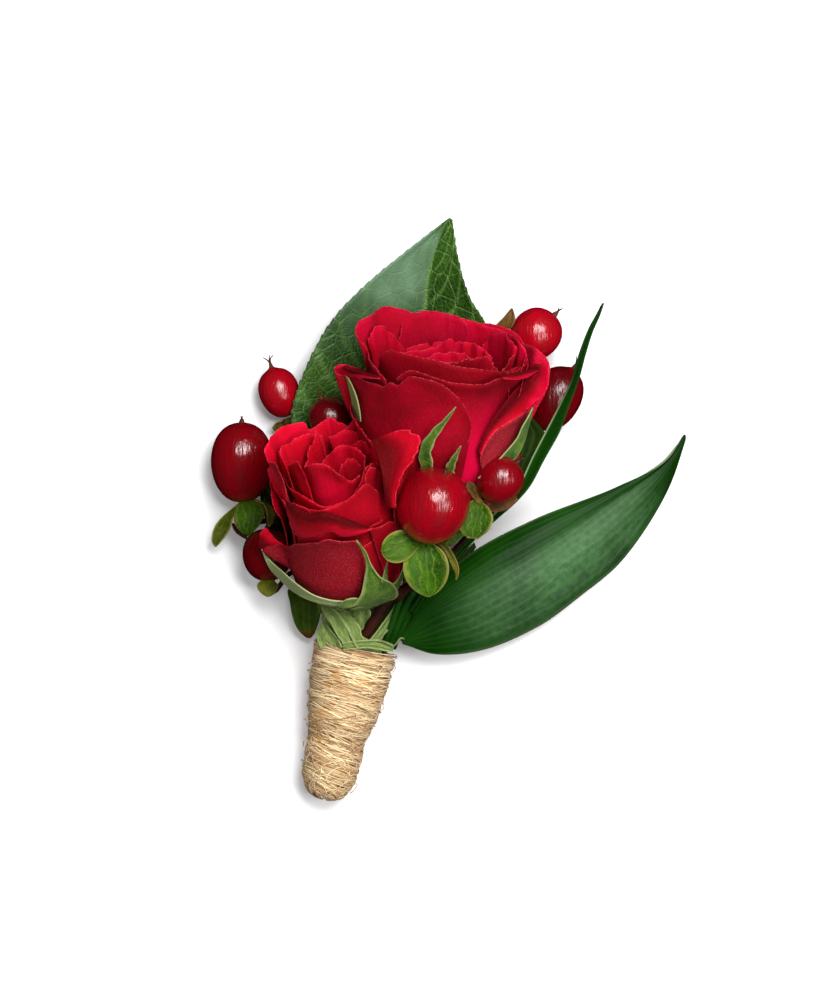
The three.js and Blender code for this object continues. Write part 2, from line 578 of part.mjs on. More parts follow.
// A closed skin through a loop of rings. Each ring gives [distance below the upper end, radius] by its turn.
// Nothing of it reaches below the table at z = 0, so its underside is flat.
function skin(rings, sides) {
  const positions = [];
  const index = [];
  rings.forEach((ring) => {
    for (let i = 0; i < sides; i++) {
      const turn = (i / sides) * Math.PI * 2;
      const [below, radius] = ring(turn);
      const place = inHandle(below, radius * Math.cos(turn), radius * Math.sin(turn));
      positions.push(place.x, place.y, Math.max(place.z, 0));
    }
  });
  const count = rings.length;
  for (let j = 0; j < count; j++) {
    for (let i = 0; i < sides; i++) {
      const next = (i + 1) % sides;
      const [a, b] = [j * sides + i, j * sides + next];
      const [d, c] = [((j + 1) % count) * sides + i, ((j + 1) % count) * sides + next];
      index.push(a, b, c, a, c, d);
    }
  }
  const geometry = new THREE.BufferGeometry();
  geometry.setAttribute('position', new THREE.Float32BufferAttribute(positions, 3));
  geometry.setIndex(index);
  return fused([geometry]);
}

// Evenly spaced shares from 0 to 1
const shares = (count) => Array.from({ length: count + 1 }, (_, i) => i / count);

function twineWrap() {
  const coil = (turn, below) => Math.sin(Math.PI * 2 * (below / WRAP_LENGTH) * TWINE_TURNS + turn);
  const outside = shares(TWINE_TURNS * 3).map((share) => (turn) => {
    const below = share * 26;
    return [below, along(WRAP_RADIUS, below) + TWINE_RELIEF * coil(turn, below)];
  });
  const end = [() => [27.2, 2.7], () => [27.7, 0], () => [24.4, 0]];
  const inside = shares(4).map((share) => () => {
    const below = (1 - share) * 24.4;
    return [below, along(WRAP_RADIUS, below) - WRAP_WALL];
  });
  return skin([...outside, ...end, ...inside], 14);
}

// The tape opens out above the twine, high on the left and low on the right, where leaf stalks leave it.
function tapeSleeve() {
  const mouth = (turn) => -3.6 + 4.2 * Math.cos(turn);
  const flare = (below) => 1.8 * smooth(0, 7.6, -below);
  const radius = (below) => along(WRAP_RADIUS, Math.max(below, 0)) - WRAP_WALL - GAP + flare(below);
  const crease = (turn, below) => 0.14 * Math.sin(turn * 5 + below * 0.9) * smooth(0.5, 2, -below);
  const outside = shares(12).map((share) => (turn) => {
    const below = mix(mouth(turn), TAPE_END, share);
    return [below, radius(below) + crease(turn, below)];
  });
  const inside = shares(4).map((share) => (turn) => {
    const below = mix(TAPE_END, mouth(turn), share);
    return [below, radius(below) - TAPE_WALL];
  });
  return skin([...outside, ...inside], 20);
}

function handle() {
  addMesh('twine_wrap', twineWrap(), FINISH.twine);
  addMesh('floral_tape', tapeSleeve(), FINISH.tape);
}

roses();
berries();
twigs();
leaves();
handle();

export default part;
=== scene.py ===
import math

import bpy
import numpy as np
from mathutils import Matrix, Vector


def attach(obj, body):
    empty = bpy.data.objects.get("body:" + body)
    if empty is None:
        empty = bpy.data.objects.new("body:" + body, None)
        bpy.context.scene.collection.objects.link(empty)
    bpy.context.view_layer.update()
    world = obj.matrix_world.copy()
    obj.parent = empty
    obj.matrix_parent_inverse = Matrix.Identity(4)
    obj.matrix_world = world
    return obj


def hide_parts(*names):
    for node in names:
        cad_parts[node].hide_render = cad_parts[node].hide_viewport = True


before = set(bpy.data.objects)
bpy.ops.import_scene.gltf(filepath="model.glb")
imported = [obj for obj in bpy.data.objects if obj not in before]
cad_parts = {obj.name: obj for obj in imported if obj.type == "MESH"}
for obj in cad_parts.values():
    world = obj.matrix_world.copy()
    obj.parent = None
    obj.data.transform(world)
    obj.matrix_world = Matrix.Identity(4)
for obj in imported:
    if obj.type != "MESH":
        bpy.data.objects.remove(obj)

# Boutonniere: the finished roses, berries, leaves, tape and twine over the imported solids.
# All shapes are worked out in millimetres and scaled to metres when a piece is made.

MM = 0.001
TURN = 2 * math.pi
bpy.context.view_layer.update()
SHEET = (825, 1000)  # squares across and down the layout sheet
GRID = 0.18  # width in mm of one square
GRID_ORIGIN = (345, 700)  # the square over the origin; rows are counted downwards


def laid(points):
    """Layout squares as places in the table's plane, with any further values kept."""
    return [((p[0] - GRID_ORIGIN[0]) * GRID, (GRID_ORIGIN[1] - p[1]) * GRID, *p[2:]) for p in points]


# Camera, light and floor

def camera_and_light():
    scene = bpy.context.scene
    camera = bpy.data.objects.new("camera", bpy.data.cameras.new("camera"))
    camera.data.type = "ORTHO"
    camera.data.ortho_scale = SHEET[1] * GRID * MM
    (x, y), = laid([(SHEET[0] / 2, SHEET[1] / 2)])
    camera.location = (x * MM, y * MM, 0.6)
    camera.data.clip_start = 0.01
    scene.collection.objects.link(camera)
    scene.camera = camera

    world = bpy.data.worlds.new("studio")
    world.use_nodes = True
    back = world.node_tree.nodes["Background"]
    back.inputs["Color"].default_value = (1, 1, 1, 1)
    back.inputs["Strength"].default_value = 0.42
    world.cycles_visibility.glossy = False
    scene.world = world
    middle = np.array([0.012, 0.04, 0.0])
    for name, place, size, power, shine in [
        ("key", (0.21, 0.33, 0.78), 0.42, 9.0, True),
        ("side", (0.46, -0.1, 0.66), 0.3, 2.6, True),
        ("fill", (-0.5, -0.1, 0.6), 0.5, 0.8, False),
    ]:
        light = bpy.data.objects.new(name, bpy.data.lights.new(name, "AREA"))
        light.data.size = size
        light.data.energy = power
        light.visible_glossy = shine
        light.location = place
        light.rotation_mode = "QUATERNION"
        light.rotation_quaternion = Vector(middle - np.array(place)).to_track_quat("-Z", "Y")
        scene.collection.objects.link(light)
    scene.view_settings.view_transform = "Standard"
    scene.view_settings.look = "None"


# Materials

def node(tree, kind, inputs=None, **settings):
    """A new node, by its full kind or a shader node's short one; an input is a value or the socket to link."""
    made = tree.nodes.new(kind if "Node" in kind else "ShaderNode" + kind)
    for name, value in settings.items():
        setattr(made, name, value)
    for name, value in (inputs or {}).items():
        if isinstance(value, bpy.types.NodeSocket):
            tree.links.new(value, made.inputs[name])
        else:
            made.inputs[name].default_value = value
    return made


def math_node(tree, operation, a, b=0.0):
    return node(tree, "Math", {0: a, 1: b}, operation=operation).outputs[0]


def spread(tree, value, low, high, to_low=0.0, to_high=1.0):
    inputs = {"Value": value, "From Min": low, "From Max": high, "To Min": to_low, "To Max": to_high}
    return node(tree, "MapRange", inputs).outputs[0]


def rgb(red, green, blue):
    """A colour as it shows on screen, 0 to 255, as linear values."""
    parts = [c / 255 for c in (red, green, blue)]
    return (*[c / 12.92 if c <= 0.04045 else ((c + 0.055) / 1.055) ** 2.4 for c in parts], 1.0)


def group(name, inputs, outputs, kind="ShaderNodeTree"):
    """A new node group with its input and output nodes; inputs are (label, kind of socket, value)."""
    tree = bpy.data.node_groups.new(name, kind)
    for label, socket_kind, value in inputs:
        socket = tree.interface.new_socket(label, in_out="INPUT", socket_type="NodeSocket" + socket_kind)
        if value is not None:
            socket.default_value = value
    for label, socket_kind in outputs:
        tree.interface.new_socket(label, in_out="OUTPUT", socket_type="NodeSocket" + socket_kind)
    return tree, tree.nodes.new("NodeGroupInput"), tree.nodes.new("NodeGroupOutput")


def grain_group():
    """Mottling and fine relief of a natural skin: two noises, the finer one stretched by the vector put in."""
    tree, source, result = group(
        "natural_grain",
        [("Vector", "Vector", None), ("Patch Scale", "Float", 200.0), ("Grain Scale", "Float", 1500.0)],
        [("Patches", "Float"), ("Relief", "Float")],
    )
    patches = node(tree, "TexNoise", {"Vector": source.outputs[0], "Scale": source.outputs[1], "Detail": 3.0})
    relief = node(tree, "TexNoise", {"Vector": source.outputs[0], "Scale": source.outputs[2], "Detail": 4.0})
    tree.links.new(spread(tree, patches.outputs[0], 0.3, 0.7), result.inputs[0])
    tree.links.new(relief.outputs[0], result.inputs[1])
    return tree


def rib_group():
    """Ribs that run along V, bent by a noise, as mask and height."""
    tree, source, result = group(
        "blade_ribs",
        [("UV", "Vector", None), ("Count", "Float", 30.0), ("Waver", "Float", 0.05), ("Sharpness", "Float", 3.0)],
        [("Ribs", "Float")],
    )
    parts = node(tree, "SeparateXYZ", {0: source.outputs[0]})
    noise = node(tree, "TexNoise", {"Vector": source.outputs[0], "Scale": 3.0, "Detail": 2.0})
    waver = math_node(tree, "MULTIPLY", math_node(tree, "SUBTRACT", noise.outputs[0], 0.5), source.outputs[2])
    across = math_node(tree, "ADD", parts.outputs[0], waver)
    turn = math_node(tree, "MULTIPLY", math_node(tree, "MULTIPLY", across, source.outputs[1]), math.pi)
    wave = math_node(tree, "ABSOLUTE", math_node(tree, "SINE", turn))
    tree.links.new(math_node(tree, "POWER", wave, source.outputs[3]), result.inputs[0])
    return tree


GRAIN = grain_group()
RIBS = rib_group()


class Finish:
    """A material while it is built: its tree, its shader and the places it can read."""

    def __init__(self, name, flesh=None, **constants):
        """flesh is the light that comes back through it: its weight, red, green and blue depth, and scale."""
        self.made = bpy.data.materials.new(name)
        self.made.use_nodes = True
        self.tree = self.made.node_tree
        self.shader = self.tree.nodes["Principled BSDF"]
        if flesh:
            weight, depths, scale = flesh
            constants.update(Subsurface_Weight=weight, Subsurface_Radius=depths, Subsurface_Scale=scale)
        for label, value in constants.items():
            self.shader.inputs[label.replace("_", " ")].default_value = value
        place = node(self.tree, "TexCoord")
        self.object = place.outputs["Object"]
        self.uv = place.outputs["UV"]

    def value(self, name):
        return node(self.tree, "Attribute", attribute_name=name).outputs["Fac"]

    def grain(self, vector=None, patch=200.0, fine=1500.0):
        inputs = {"Vector": vector or self.object, "Patch Scale": patch, "Grain Scale": fine}
        made = node(self.tree, "Group", inputs, node_tree=GRAIN)
        return made.outputs["Patches"], made.outputs["Relief"]

    def ribs(self, count, waver=0.05, sharpness=3.0):
        inputs = {"UV": self.uv, "Count": count, "Waver": waver, "Sharpness": sharpness}
        return node(self.tree, "Group", inputs, node_tree=RIBS).outputs["Ribs"]

    def cells(self, scale):
        """The distance from the edges of small cells."""
        inputs = {"Vector": self.object, "Scale": scale}
        return node(self.tree, "TexVoronoi", inputs, feature="DISTANCE_TO_EDGE").outputs["Distance"]

    def stretched(self, source):
        return node(self.tree, "Mapping", {"Vector": source, "Scale": (1.0, 0.2, 1.0)}).outputs[0]

    def spread(self, value, *span):
        return spread(self.tree, value, *span)

    def times(self, a, b):
        return math_node(self.tree, "MULTIPLY", a, b)

    def blend(self, factor, a, b, kind="MIX"):
        return node(self.tree, "Mix", {0: factor, 6: a, 7: b}, data_type="RGBA", blend_type=kind).outputs[2]

    def tint(self, colour, mask, strength, *shade):
        """The colour with a shade laid over it where the mask is."""
        return self.blend(self.times(mask, strength), colour, rgb(*shade))

    def set(self, label, socket):
        self.tree.links.new(socket, self.shader.inputs[label])

    def done(self, colour, *layers):
        """The material with its colour, and (height, depth in mm) layers stacked into its relief."""
        self.set("Base Color", colour)
        normal = None
        for height, depth in layers:
            made = node(self.tree, "Bump", {"Height": height, "Distance": depth * MM, "Strength": 1.0})
            if normal is not None:
                self.tree.links.new(normal, made.inputs["Normal"])
            normal = made.outputs[0]
        self.set("Normal", normal)
        return self.made


def petal_finish(name, deep, full, bright, back):
    """Rose petals: inner marks the face turned to the heart, painted darker towards its root as shade deep in the
    bloom; guard gives the dull velvet of an outermost back.
    """
    f = Finish(name, Roughness=0.7, Specular_IOR_Level=0.05, Sheen_Weight=0.02, Sheen_Roughness=0.5,
               Sheen_Tint=rgb(255, 90, 110), flesh=(0.06, (1.0, 0.03, 0.05), 0.001))
    patches, relief = f.grain(patch=150.0, fine=2600.0)
    wide, _ = f.grain(patch=46.0, fine=900.0)
    along = node(f.tree, "SeparateXYZ", {0: f.uv}).outputs[1]
    # painted shade: the face turned to the heart darkens from its lip to its root deep in the bloom, with brighter
    # patches painted near the lip
    inner = f.blend(f.spread(along, 0.3, 0.95), deep, full)
    inner = f.blend(f.times(patches, f.spread(along, 0.5, 1.0)), inner, bright)
    outer = f.blend(wide, deep, full)
    outer = f.blend(f.times(patches, f.spread(wide, 0.4, 1.0, 0.0, 0.8)), outer, bright)
    # painted highlight: a magenta sheen on the velvet where a petal is marked for one
    outer = f.tint(outer, f.value("glow"), 0.8, 208, 0, 58)
    outer = f.blend(f.times(f.value("guard"), 0.9), outer, back)
    colour = f.blend(f.spread(f.value("inner"), 0.45, 0.55), outer, inner)
    # tone varies at random from petal to petal; where it is given for a petal it paints light (towards 1) or shade
    # (towards 0) over the whole petal
    shade = f.spread(f.value("tone"), 0.0, 1.0, 0.74, 1.2)
    grey = node(f.tree, "CombineColor", {0: shade, 1: shade, 2: shade}).outputs[0]
    colour = f.blend(1.0, colour, grey, "MULTIPLY")
    edge = f.times(f.spread(f.value("edge"), 0.26, 0.0), f.spread(relief, 0.42, 0.6))
    colour = f.tint(colour, edge, 0.42, 226, 84, 98)
    _, pile = f.grain(patch=900.0, fine=5200.0)
    specks = f.times(f.spread(pile, 0.54, 0.68), f.spread(f.value("guard"), 0.0, 1.0, 0.03, 0.16))
    colour = f.blend(specks, colour, rgb(214, 128, 132))
    return f.done(colour, (patches, 0.12), (f.ribs(30.0, 0.3, 1.2), 0.02), (relief, 0.05))


def skin_finish(name, low, high, gloss=0.2):
    """Bark or a dried tip, mottled from one brown to another."""
    f = Finish(name, Roughness=0.5, Specular_IOR_Level=gloss, flesh=(0.05, (0.4, 0.8, 0.2), 0.0006))
    patches, relief = f.grain(patch=220.0, fine=1800.0)
    return f.done(f.blend(patches, low, high), (relief, 0.08))


def calyx_finish():
    """Green sepals with a pale down on them; the attribute pale gives the ones that have dried lighter."""
    f = Finish("rose_calyx_green", Roughness=0.62, Specular_IOR_Level=0.15, Sheen_Weight=0.1, Sheen_Roughness=0.5,
               Sheen_Tint=rgb(220, 232, 190))
    patches, relief = f.grain(patch=420.0, fine=2600.0)
    colour = f.blend(patches, rgb(34, 74, 2), rgb(84, 116, 18))
    colour = f.tint(colour, f.value("pale"), 0.8, 150, 162, 110)
    colour = f.tint(colour, f.spread(relief, 0.52, 0.66), 0.22, 164, 182, 104)
    colour = f.tint(colour, f.spread(f.value("rim"), 0.0, 1.0), 0.4, 196, 200, 140)
    return f.done(colour, (f.ribs(9.0, 0.3, 2.0), 0.05), (relief, 0.1))


def sepal_finish():
    """Berry sepals from dried brown (tone 0) through olive to fresh lime (tone 1), with a branching vein."""
    f = Finish("berry_sepal_green", Roughness=0.5, Specular_IOR_Level=0.15, flesh=(0.06, (0.4, 0.8, 0.1), 0.0006))
    patches, relief = f.grain(patch=300.0, fine=1800.0)
    tone = f.value("tone")
    dry = f.blend(patches, rgb(54, 32, 8), rgb(104, 66, 26))
    olive = f.blend(patches, rgb(44, 52, 2), rgb(92, 94, 20))
    lime = f.blend(patches, rgb(17, 52, 0), rgb(54, 94, 0))
    colour = f.blend(f.spread(tone, 0.0, 0.5), dry, olive)
    colour = f.blend(f.spread(tone, 0.5, 1.0), colour, lime)
    ribs = f.ribs(5.0, 0.5, 14.0)
    lace = f.spread(f.cells(900.0), 0.0, 0.12, 1.0, 0.0)
    colour = f.tint(colour, f.times(ribs, tone), 0.22, 130, 156, 40)
    colour = f.tint(colour, f.times(lace, tone), 0.1, 120, 150, 20)
    rim = f.blend(f.spread(tone, 0.1, 0.5), rgb(112, 76, 44), rgb(166, 150, 80))
    colour = f.blend(f.times(f.value("rim"), 0.5), colour, rim)
    return f.done(colour, (ribs, 0.08), (lace, -0.04), (relief, 0.05))


def berry_finish():
    f = Finish("berry_skin", Specular_IOR_Level=0.6, flesh=(0.04, (1.0, 0.05, 0.05), 0.0008))
    streaks = f.stretched(f.object)
    patches, relief = f.grain(streaks, patch=420.0, fine=1900.0)
    tone = f.value("tone")
    base = f.blend(tone, rgb(74, 0, 4), rgb(170, 1, 22))
    colour = f.tint(base, patches, 0.4, 58, 0, 2)
    colour = f.tint(colour, f.spread(f.value("pole"), 0.9, 1.0), 0.4, 96, 30, 16)
    f.set("Roughness", f.spread(patches, 0.0, 1.0, 0.14, 0.3))
    return f.done(colour, (f.grain(streaks, 300.0, 520.0)[1], 0.3), (relief, 0.12))


def salal_finish():
    """One attribute marks where a sheen is painted on the upper left half of the blade as a pale grey-green, and its
    veins fade there.
    """
    f = Finish("salal_leaf_green", Specular_IOR_Level=0.35, flesh=(0.04, (0.3, 0.7, 0.2), 0.0005))
    net = f.spread(f.cells(300.0), 0.0, 0.07, 1.0, 0.0)
    mesh = f.spread(f.cells(1200.0), 0.0, 0.16, 1.0, 0.0)
    patches, relief = f.grain(patch=110.0, fine=2200.0)
    colour = f.blend(patches, rgb(22, 56, 0), rgb(46, 84, 4))
    # painted sheen: a pale grey-green in patches over the marked half, with the veins faded under it
    wax = f.times(f.value("wax"), f.spread(patches, 0.0, 1.0, 0.25, 1.0))
    colour = f.tint(colour, wax, 0.7, 114, 144, 120)
    bare = f.spread(f.value("wax"), 0.0, 1.0, 1.0, 0.25)
    net = f.times(net, bare)
    mesh = f.times(mesh, bare)
    colour = f.tint(colour, net, 0.4, 104, 144, 66)
    colour = f.tint(colour, mesh, 0.12, 110, 150, 76)
    colour = f.tint(colour, f.times(f.value("vein"), bare), 0.5, 118, 156, 76)
    f.set("Roughness", f.spread(patches, 0.0, 1.0, 0.4, 0.52))
    return f.done(colour, (net, -0.16), (mesh, -0.07), (relief, 0.07))


def ruscus_finish():
    """The attribute shine marks where a sheen is painted on the broad leaf as a pale grey-green with its ribs showing
    more; rim marks its dry edge, and on the narrow blade a painted highlight line along one edge.
    """
    f = Finish("ruscus_leaf_green", Specular_IOR_Level=0.11)
    ribs = f.ribs(15.0, 0.16, 7.0)
    fine = f.ribs(52.0, 0.12, 2.0)
    patches, relief = f.grain(patch=90.0, fine=900.0)
    colour = f.blend(patches, rgb(2, 34, 0), rgb(14, 62, 0))
    colour = f.tint(colour, fine, 0.1, 32, 86, 8)
    shine = f.value("shine")
    # painted sheen: a pale grey-green where shine is set, broken up by relief and patches, and the ribs show more
    # there
    pale = f.times(f.spread(relief, 0.35, 0.65, 0.55, 1.0), shine)
    pale = f.times(pale, f.spread(patches, 0.0, 1.0, 0.45, 1.0))
    colour = f.tint(colour, pale, 0.46, 104, 142, 102)
    shown = f.times(ribs, f.spread(shine, 0.0, 1.0, 0.05, 0.16))
    colour = f.blend(shown, colour, rgb(84, 136, 60))
    # rim: the broad leaf's pale dry edge, and the narrow blade's painted highlight line
    colour = f.tint(colour, f.value("rim"), 0.7, 176, 196, 150)
    f.set("Roughness", f.spread(patches, 0.0, 1.0, 0.36, 0.5))
    return f.done(colour, (ribs, 0.025), (fine, 0.008), (relief, 0.05))


def small_leaf_finish(name, low, high):
    """The attribute tip marks where a leaf has turned brown."""
    f = Finish(name, Roughness=0.6, Specular_IOR_Level=0.1)
    patches, relief = f.grain(patch=240.0, fine=1800.0)
    colour = f.blend(patches, low, high)
    colour = f.tint(colour, f.ribs(4.0, 0.3, 14.0), 0.14, 110, 130, 50)
    colour = f.tint(colour, f.value("tip"), 0.85, 92, 34, 10)
    return f.done(colour, (patches, 0.1), (relief, 0.06))


def twine_finish():
    f = Finish("jute_fibre", Roughness=0.62, Specular_IOR_Level=0.35, Sheen_Weight=0.15)
    patches, relief = f.grain(patch=260.0, fine=3000.0)
    tone = f.value("tone")
    colour = f.blend(tone, rgb(150, 102, 50), rgb(248, 226, 180))
    colour = f.tint(colour, f.spread(patches, 0.55, 1.0), 0.5, 206, 146, 62)
    colour = f.blend(f.value("under"), colour, rgb(176, 116, 58))
    # painted shade: the fibres darken to brown towards the table, on the low sides of the handle
    height = node(f.tree, "SeparateXYZ", {0: f.object}).outputs[2]
    low = f.spread(height, 0.0115, 0.004, 0.0, 0.65)
    colour = f.blend(low, colour, rgb(150, 108, 62))
    return f.done(colour, (relief, 0.03))


def tape_finish():
    f = Finish("floral_tape_crepe", Roughness=0.55, Specular_IOR_Level=0.3, flesh=(0.05, (0.4, 0.6, 0.2), 0.0005))
    crepe = node(f.tree, "TexNoise", {"Vector": f.stretched(f.uv), "Scale": 26.0, "Detail": 4.0})
    patches, relief = f.grain(patch=260.0, fine=1600.0)
    colour = f.blend(f.spread(crepe.outputs[0], 0.3, 0.7), rgb(50, 78, 18), rgb(136, 156, 78))
    colour = f.tint(colour, patches, 0.3, 160, 178, 112)
    colour = f.tint(colour, f.value("rim"), 0.22, 200, 208, 156)
    return f.done(colour, (crepe.outputs[0], 0.3), (relief, 0.06))


def floor_finish():
    f = Finish("paper_sweep", Base_Color=(0.93, 0.93, 0.94, 1), Roughness=0.9, Specular_IOR_Level=0.1,
               Emission_Color=(1, 1, 1, 1), Emission_Strength=0.02)
    f.set("Roughness", f.spread(f.grain(patch=3.0, fine=300.0)[0], 0.0, 1.0, 0.88, 0.94))
    return f.made


# Shapes

def smooth(low, high, value):
    t = np.clip((np.asarray(value, float) - low) / (high - low), 0, 1)
    return t * t * (3 - 2 * t)


def smooth_line(points, count):
    """count places at even steps along a smooth line, with any further values kept."""
    p = np.array(points, float)
    gaps = np.maximum(np.linalg.norm(np.diff(p[:, :3], axis=0), axis=1) ** 0.5, 1e-6)
    t = np.concatenate([[0], np.cumsum(gaps)])
    slopes = np.gradient(p, t, axis=0) if len(p) > 2 else np.repeat(np.diff(p, axis=0) / gaps[0], 2, axis=0)
    dense = []
    for i in range(len(p) - 1):
        s = np.linspace(0, 1, 16, endpoint=False)[:, None]
        step = t[i + 1] - t[i]
        dense.append((2 * s**3 - 3 * s**2 + 1) * p[i] + (s**3 - 2 * s**2 + s) * step * slopes[i]
                     + (3 * s**2 - 2 * s**3) * p[i + 1] + (s**3 - s**2) * step * slopes[i + 1])
    dense = np.concatenate([*dense, p[-1:]])
    run = np.concatenate([[0], np.cumsum(np.linalg.norm(np.diff(dense[:, :3], axis=0), axis=1))])
    places = np.linspace(0, run[-1], count)
    return np.stack([np.interp(places, run, dense[:, k]) for k in range(p.shape[1])], axis=1)


def unit(v):
    return v / np.maximum(np.linalg.norm(v, axis=-1, keepdims=True), 1e-9)


def undulation(shape, seed, waves=5, most=3.0):
    """A gentle random relief over a grid of rows and columns, about -1 to 1."""
    random = np.random.default_rng(seed)
    v, u = np.meshgrid(np.linspace(0, 1, shape[0]), np.linspace(0, 1, shape[1]), indexing="ij")
    total = np.zeros(shape)
    for _ in range(waves):
        turn = random.uniform(0, TURN)
        pace = random.uniform(0.6, 1.0) * most * math.pi
        total += np.sin(pace * (u * math.cos(turn) + v * math.sin(turn)) + random.uniform(0, 6.3))
    return total / waves * 1.6


def above_table(places, least):
    """Lifts places to at least so many millimetres above the table."""
    places[..., 2] = np.maximum(places[..., 2], least)


def ring_quads(rows, sides):
    """Quads between rows of places in rings, of which the last ones join the last row to the first."""
    i, j = (some.ravel() for some in np.meshgrid(np.arange(sides), np.arange(rows)))
    n, d = (i + 1) % sides, (j + 1) % rows
    return np.stack([j * sides + i, j * sides + n, d * sides + n, d * sides + i], axis=1)


def piece(name, mesh, slot, *nodes):
    """A finished piece: it rides on the root body, and stands for the nodes named."""
    made = bpy.data.objects.new(name, mesh)
    bpy.context.scene.collection.objects.link(made)
    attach(made, "root")
    if nodes:
        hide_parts(*nodes)


class Shape:
    """Vertices, faces and surface values of one piece while it is built."""

    def __init__(self):
        self.verts, self.faces, self.uvs, self.values, self.count = [], [], [], {}, 0

    def add(self, verts, uv, *faces, **values):
        """Adds places in millimetres with their UVs, and arrays of faces with the same number of corners each."""
        verts = np.asarray(verts, float).reshape(-1, 3)
        self.verts.append(verts)
        for some in faces:
            self.faces.extend((some + self.count).tolist())
        self.uvs.append(np.asarray(uv, float).reshape(-1, 2))
        for name, value in values.items():
            whole = np.broadcast_to(np.asarray(value, float).reshape(-1), (len(verts),))
            self.values.setdefault(name, []).append((self.count, whole))
        self.count += len(verts)

    def blade(self, grid, thickness, **values):
        """A thin closed sheet round a grid of places; its first face looks along d/du x d/dv."""
        rows, columns = grid.shape[:2]
        normal = unit(np.cross(np.gradient(grid, axis=1), np.gradient(grid, axis=0)))
        taper = np.ones((rows, columns))
        taper[-1], taper[:, 0], taper[:, -1] = 0.4, 0.4, 0.4
        half = (np.broadcast_to(thickness, (rows, columns)) * taper / 2)[..., None]
        u, v = np.meshgrid(np.linspace(0, 1, columns), np.linspace(0, 1, rows))
        i, j = np.meshgrid(np.arange(columns - 1), np.arange(rows - 1))
        a = (j * columns + i).ravel()
        quads = np.stack([a, a + 1, a + 1 + columns, a + columns], axis=1)
        back = quads[:, ::-1] + rows * columns
        low = np.arange(columns)
        high = low + (rows - 1) * columns
        left = np.arange(rows) * columns
        right = left + columns - 1
        loop = np.concatenate([low[:-1], right[:-1], high[:0:-1], left[:0:-1]])
        after = np.roll(loop, -1)
        rim = np.stack([after, loop, loop + rows * columns, after + rows * columns], axis=1)
        uv = np.stack([u, v], axis=-1)
        both = {name: np.tile(np.broadcast_to(value, (rows, columns)).ravel(), 2) for name, value in values.items()}
        self.add(np.stack([grid + normal * half, grid - normal * half]), np.stack([uv, uv]), quads, back, rim,
                 inner=np.repeat([0.0, 1.0], rows * columns), **both)

    def tube(self, points, radius, sides=10, step=0.8, **values):
        """A closed round stem through points; radius is one number or one for each point."""
        radii = np.broadcast_to(radius, len(points)) if np.ndim(radius) == 0 else np.asarray(radius, float)
        length = np.linalg.norm(np.diff(np.array(points, float), axis=0), axis=1).sum()
        line = smooth_line([(*p, r) for p, r in zip(points, radii)], max(4, int(length / step)))
        place, size = line[:, :3], line[:, 3:]
        ahead = unit(np.gradient(place, axis=0))
        side = unit(np.cross(ahead, [0.3, 0.2, 1.0]))
        lift = np.cross(ahead, side)
        turn = np.linspace(0, TURN, sides, endpoint=False)
        ring = (place[:, None] + size[:, None] * (np.cos(turn)[None, :, None] * side[:, None]
                + np.sin(turn)[None, :, None] * lift[:, None]))
        self.turned(ring, [place[0], place[-1]], **values)

    def turned(self, rings, poles, **values):
        """A closed round body: rows of places in rings, and the two poles that close the first and the last row."""
        rows, sides = rings.shape[:2]
        k = np.arange(sides)
        after = (k + 1) % sides
        last = (rows - 1) * sides
        caps = np.concatenate([np.stack([after, k, np.full(sides, rows * sides)], axis=1),
                               np.stack([last + k, last + after, np.full(sides, rows * sides + 1)], axis=1)])
        uv = np.stack(np.meshgrid(np.linspace(0, 1, sides, endpoint=False), np.linspace(0, 1, rows)), axis=-1)
        self.add(np.concatenate([rings.reshape(-1, 3), poles]), np.concatenate([uv.reshape(-1, 2), [[0, 0], [0, 1]]]),
                 ring_quads(rows, sides)[:-sides], caps, **values)

    def make(self, name, finish, slot, *nodes):
        mesh = bpy.data.meshes.new(name)
        verts = np.concatenate(self.verts)
        mesh.from_pydata((verts * MM).tolist(), [], self.faces)
        corners = np.empty(len(mesh.loops), int)
        mesh.loops.foreach_get("vertex_index", corners)
        layer = mesh.uv_layers.new(name="surface")
        layer.data.foreach_set("uv", np.concatenate(self.uvs)[corners].ravel())
        for label, parts in self.values.items():
            whole = np.zeros(len(verts))
            for start, some in parts:
                whole[start:start + len(some)] = some
            mesh.attributes.new(label, "FLOAT", "POINT").data.foreach_set("value", whole)
        mesh.polygons.foreach_set("use_smooth", np.ones(len(mesh.polygons), bool))
        mesh.materials.append(finish)
        mesh.validate()
        piece(name, mesh, slot, *nodes)


STRIP_THICKNESS = 0.3


def strip(shape, one, other, cup=0.0, wave=0.1, seed=0, rows=36, columns=13, ragged=0.0, **values):
    """A thin leaf or sepal between two long edges of places in millimetres.

    cup lifts its edges, wave ruffles it and ragged frays its second edge.
    """
    grid, edge = strip_grid(one, other, cup, wave, seed, rows, columns, ragged)
    shape.blade(grid, STRIP_THICKNESS, rim=edge, **values)


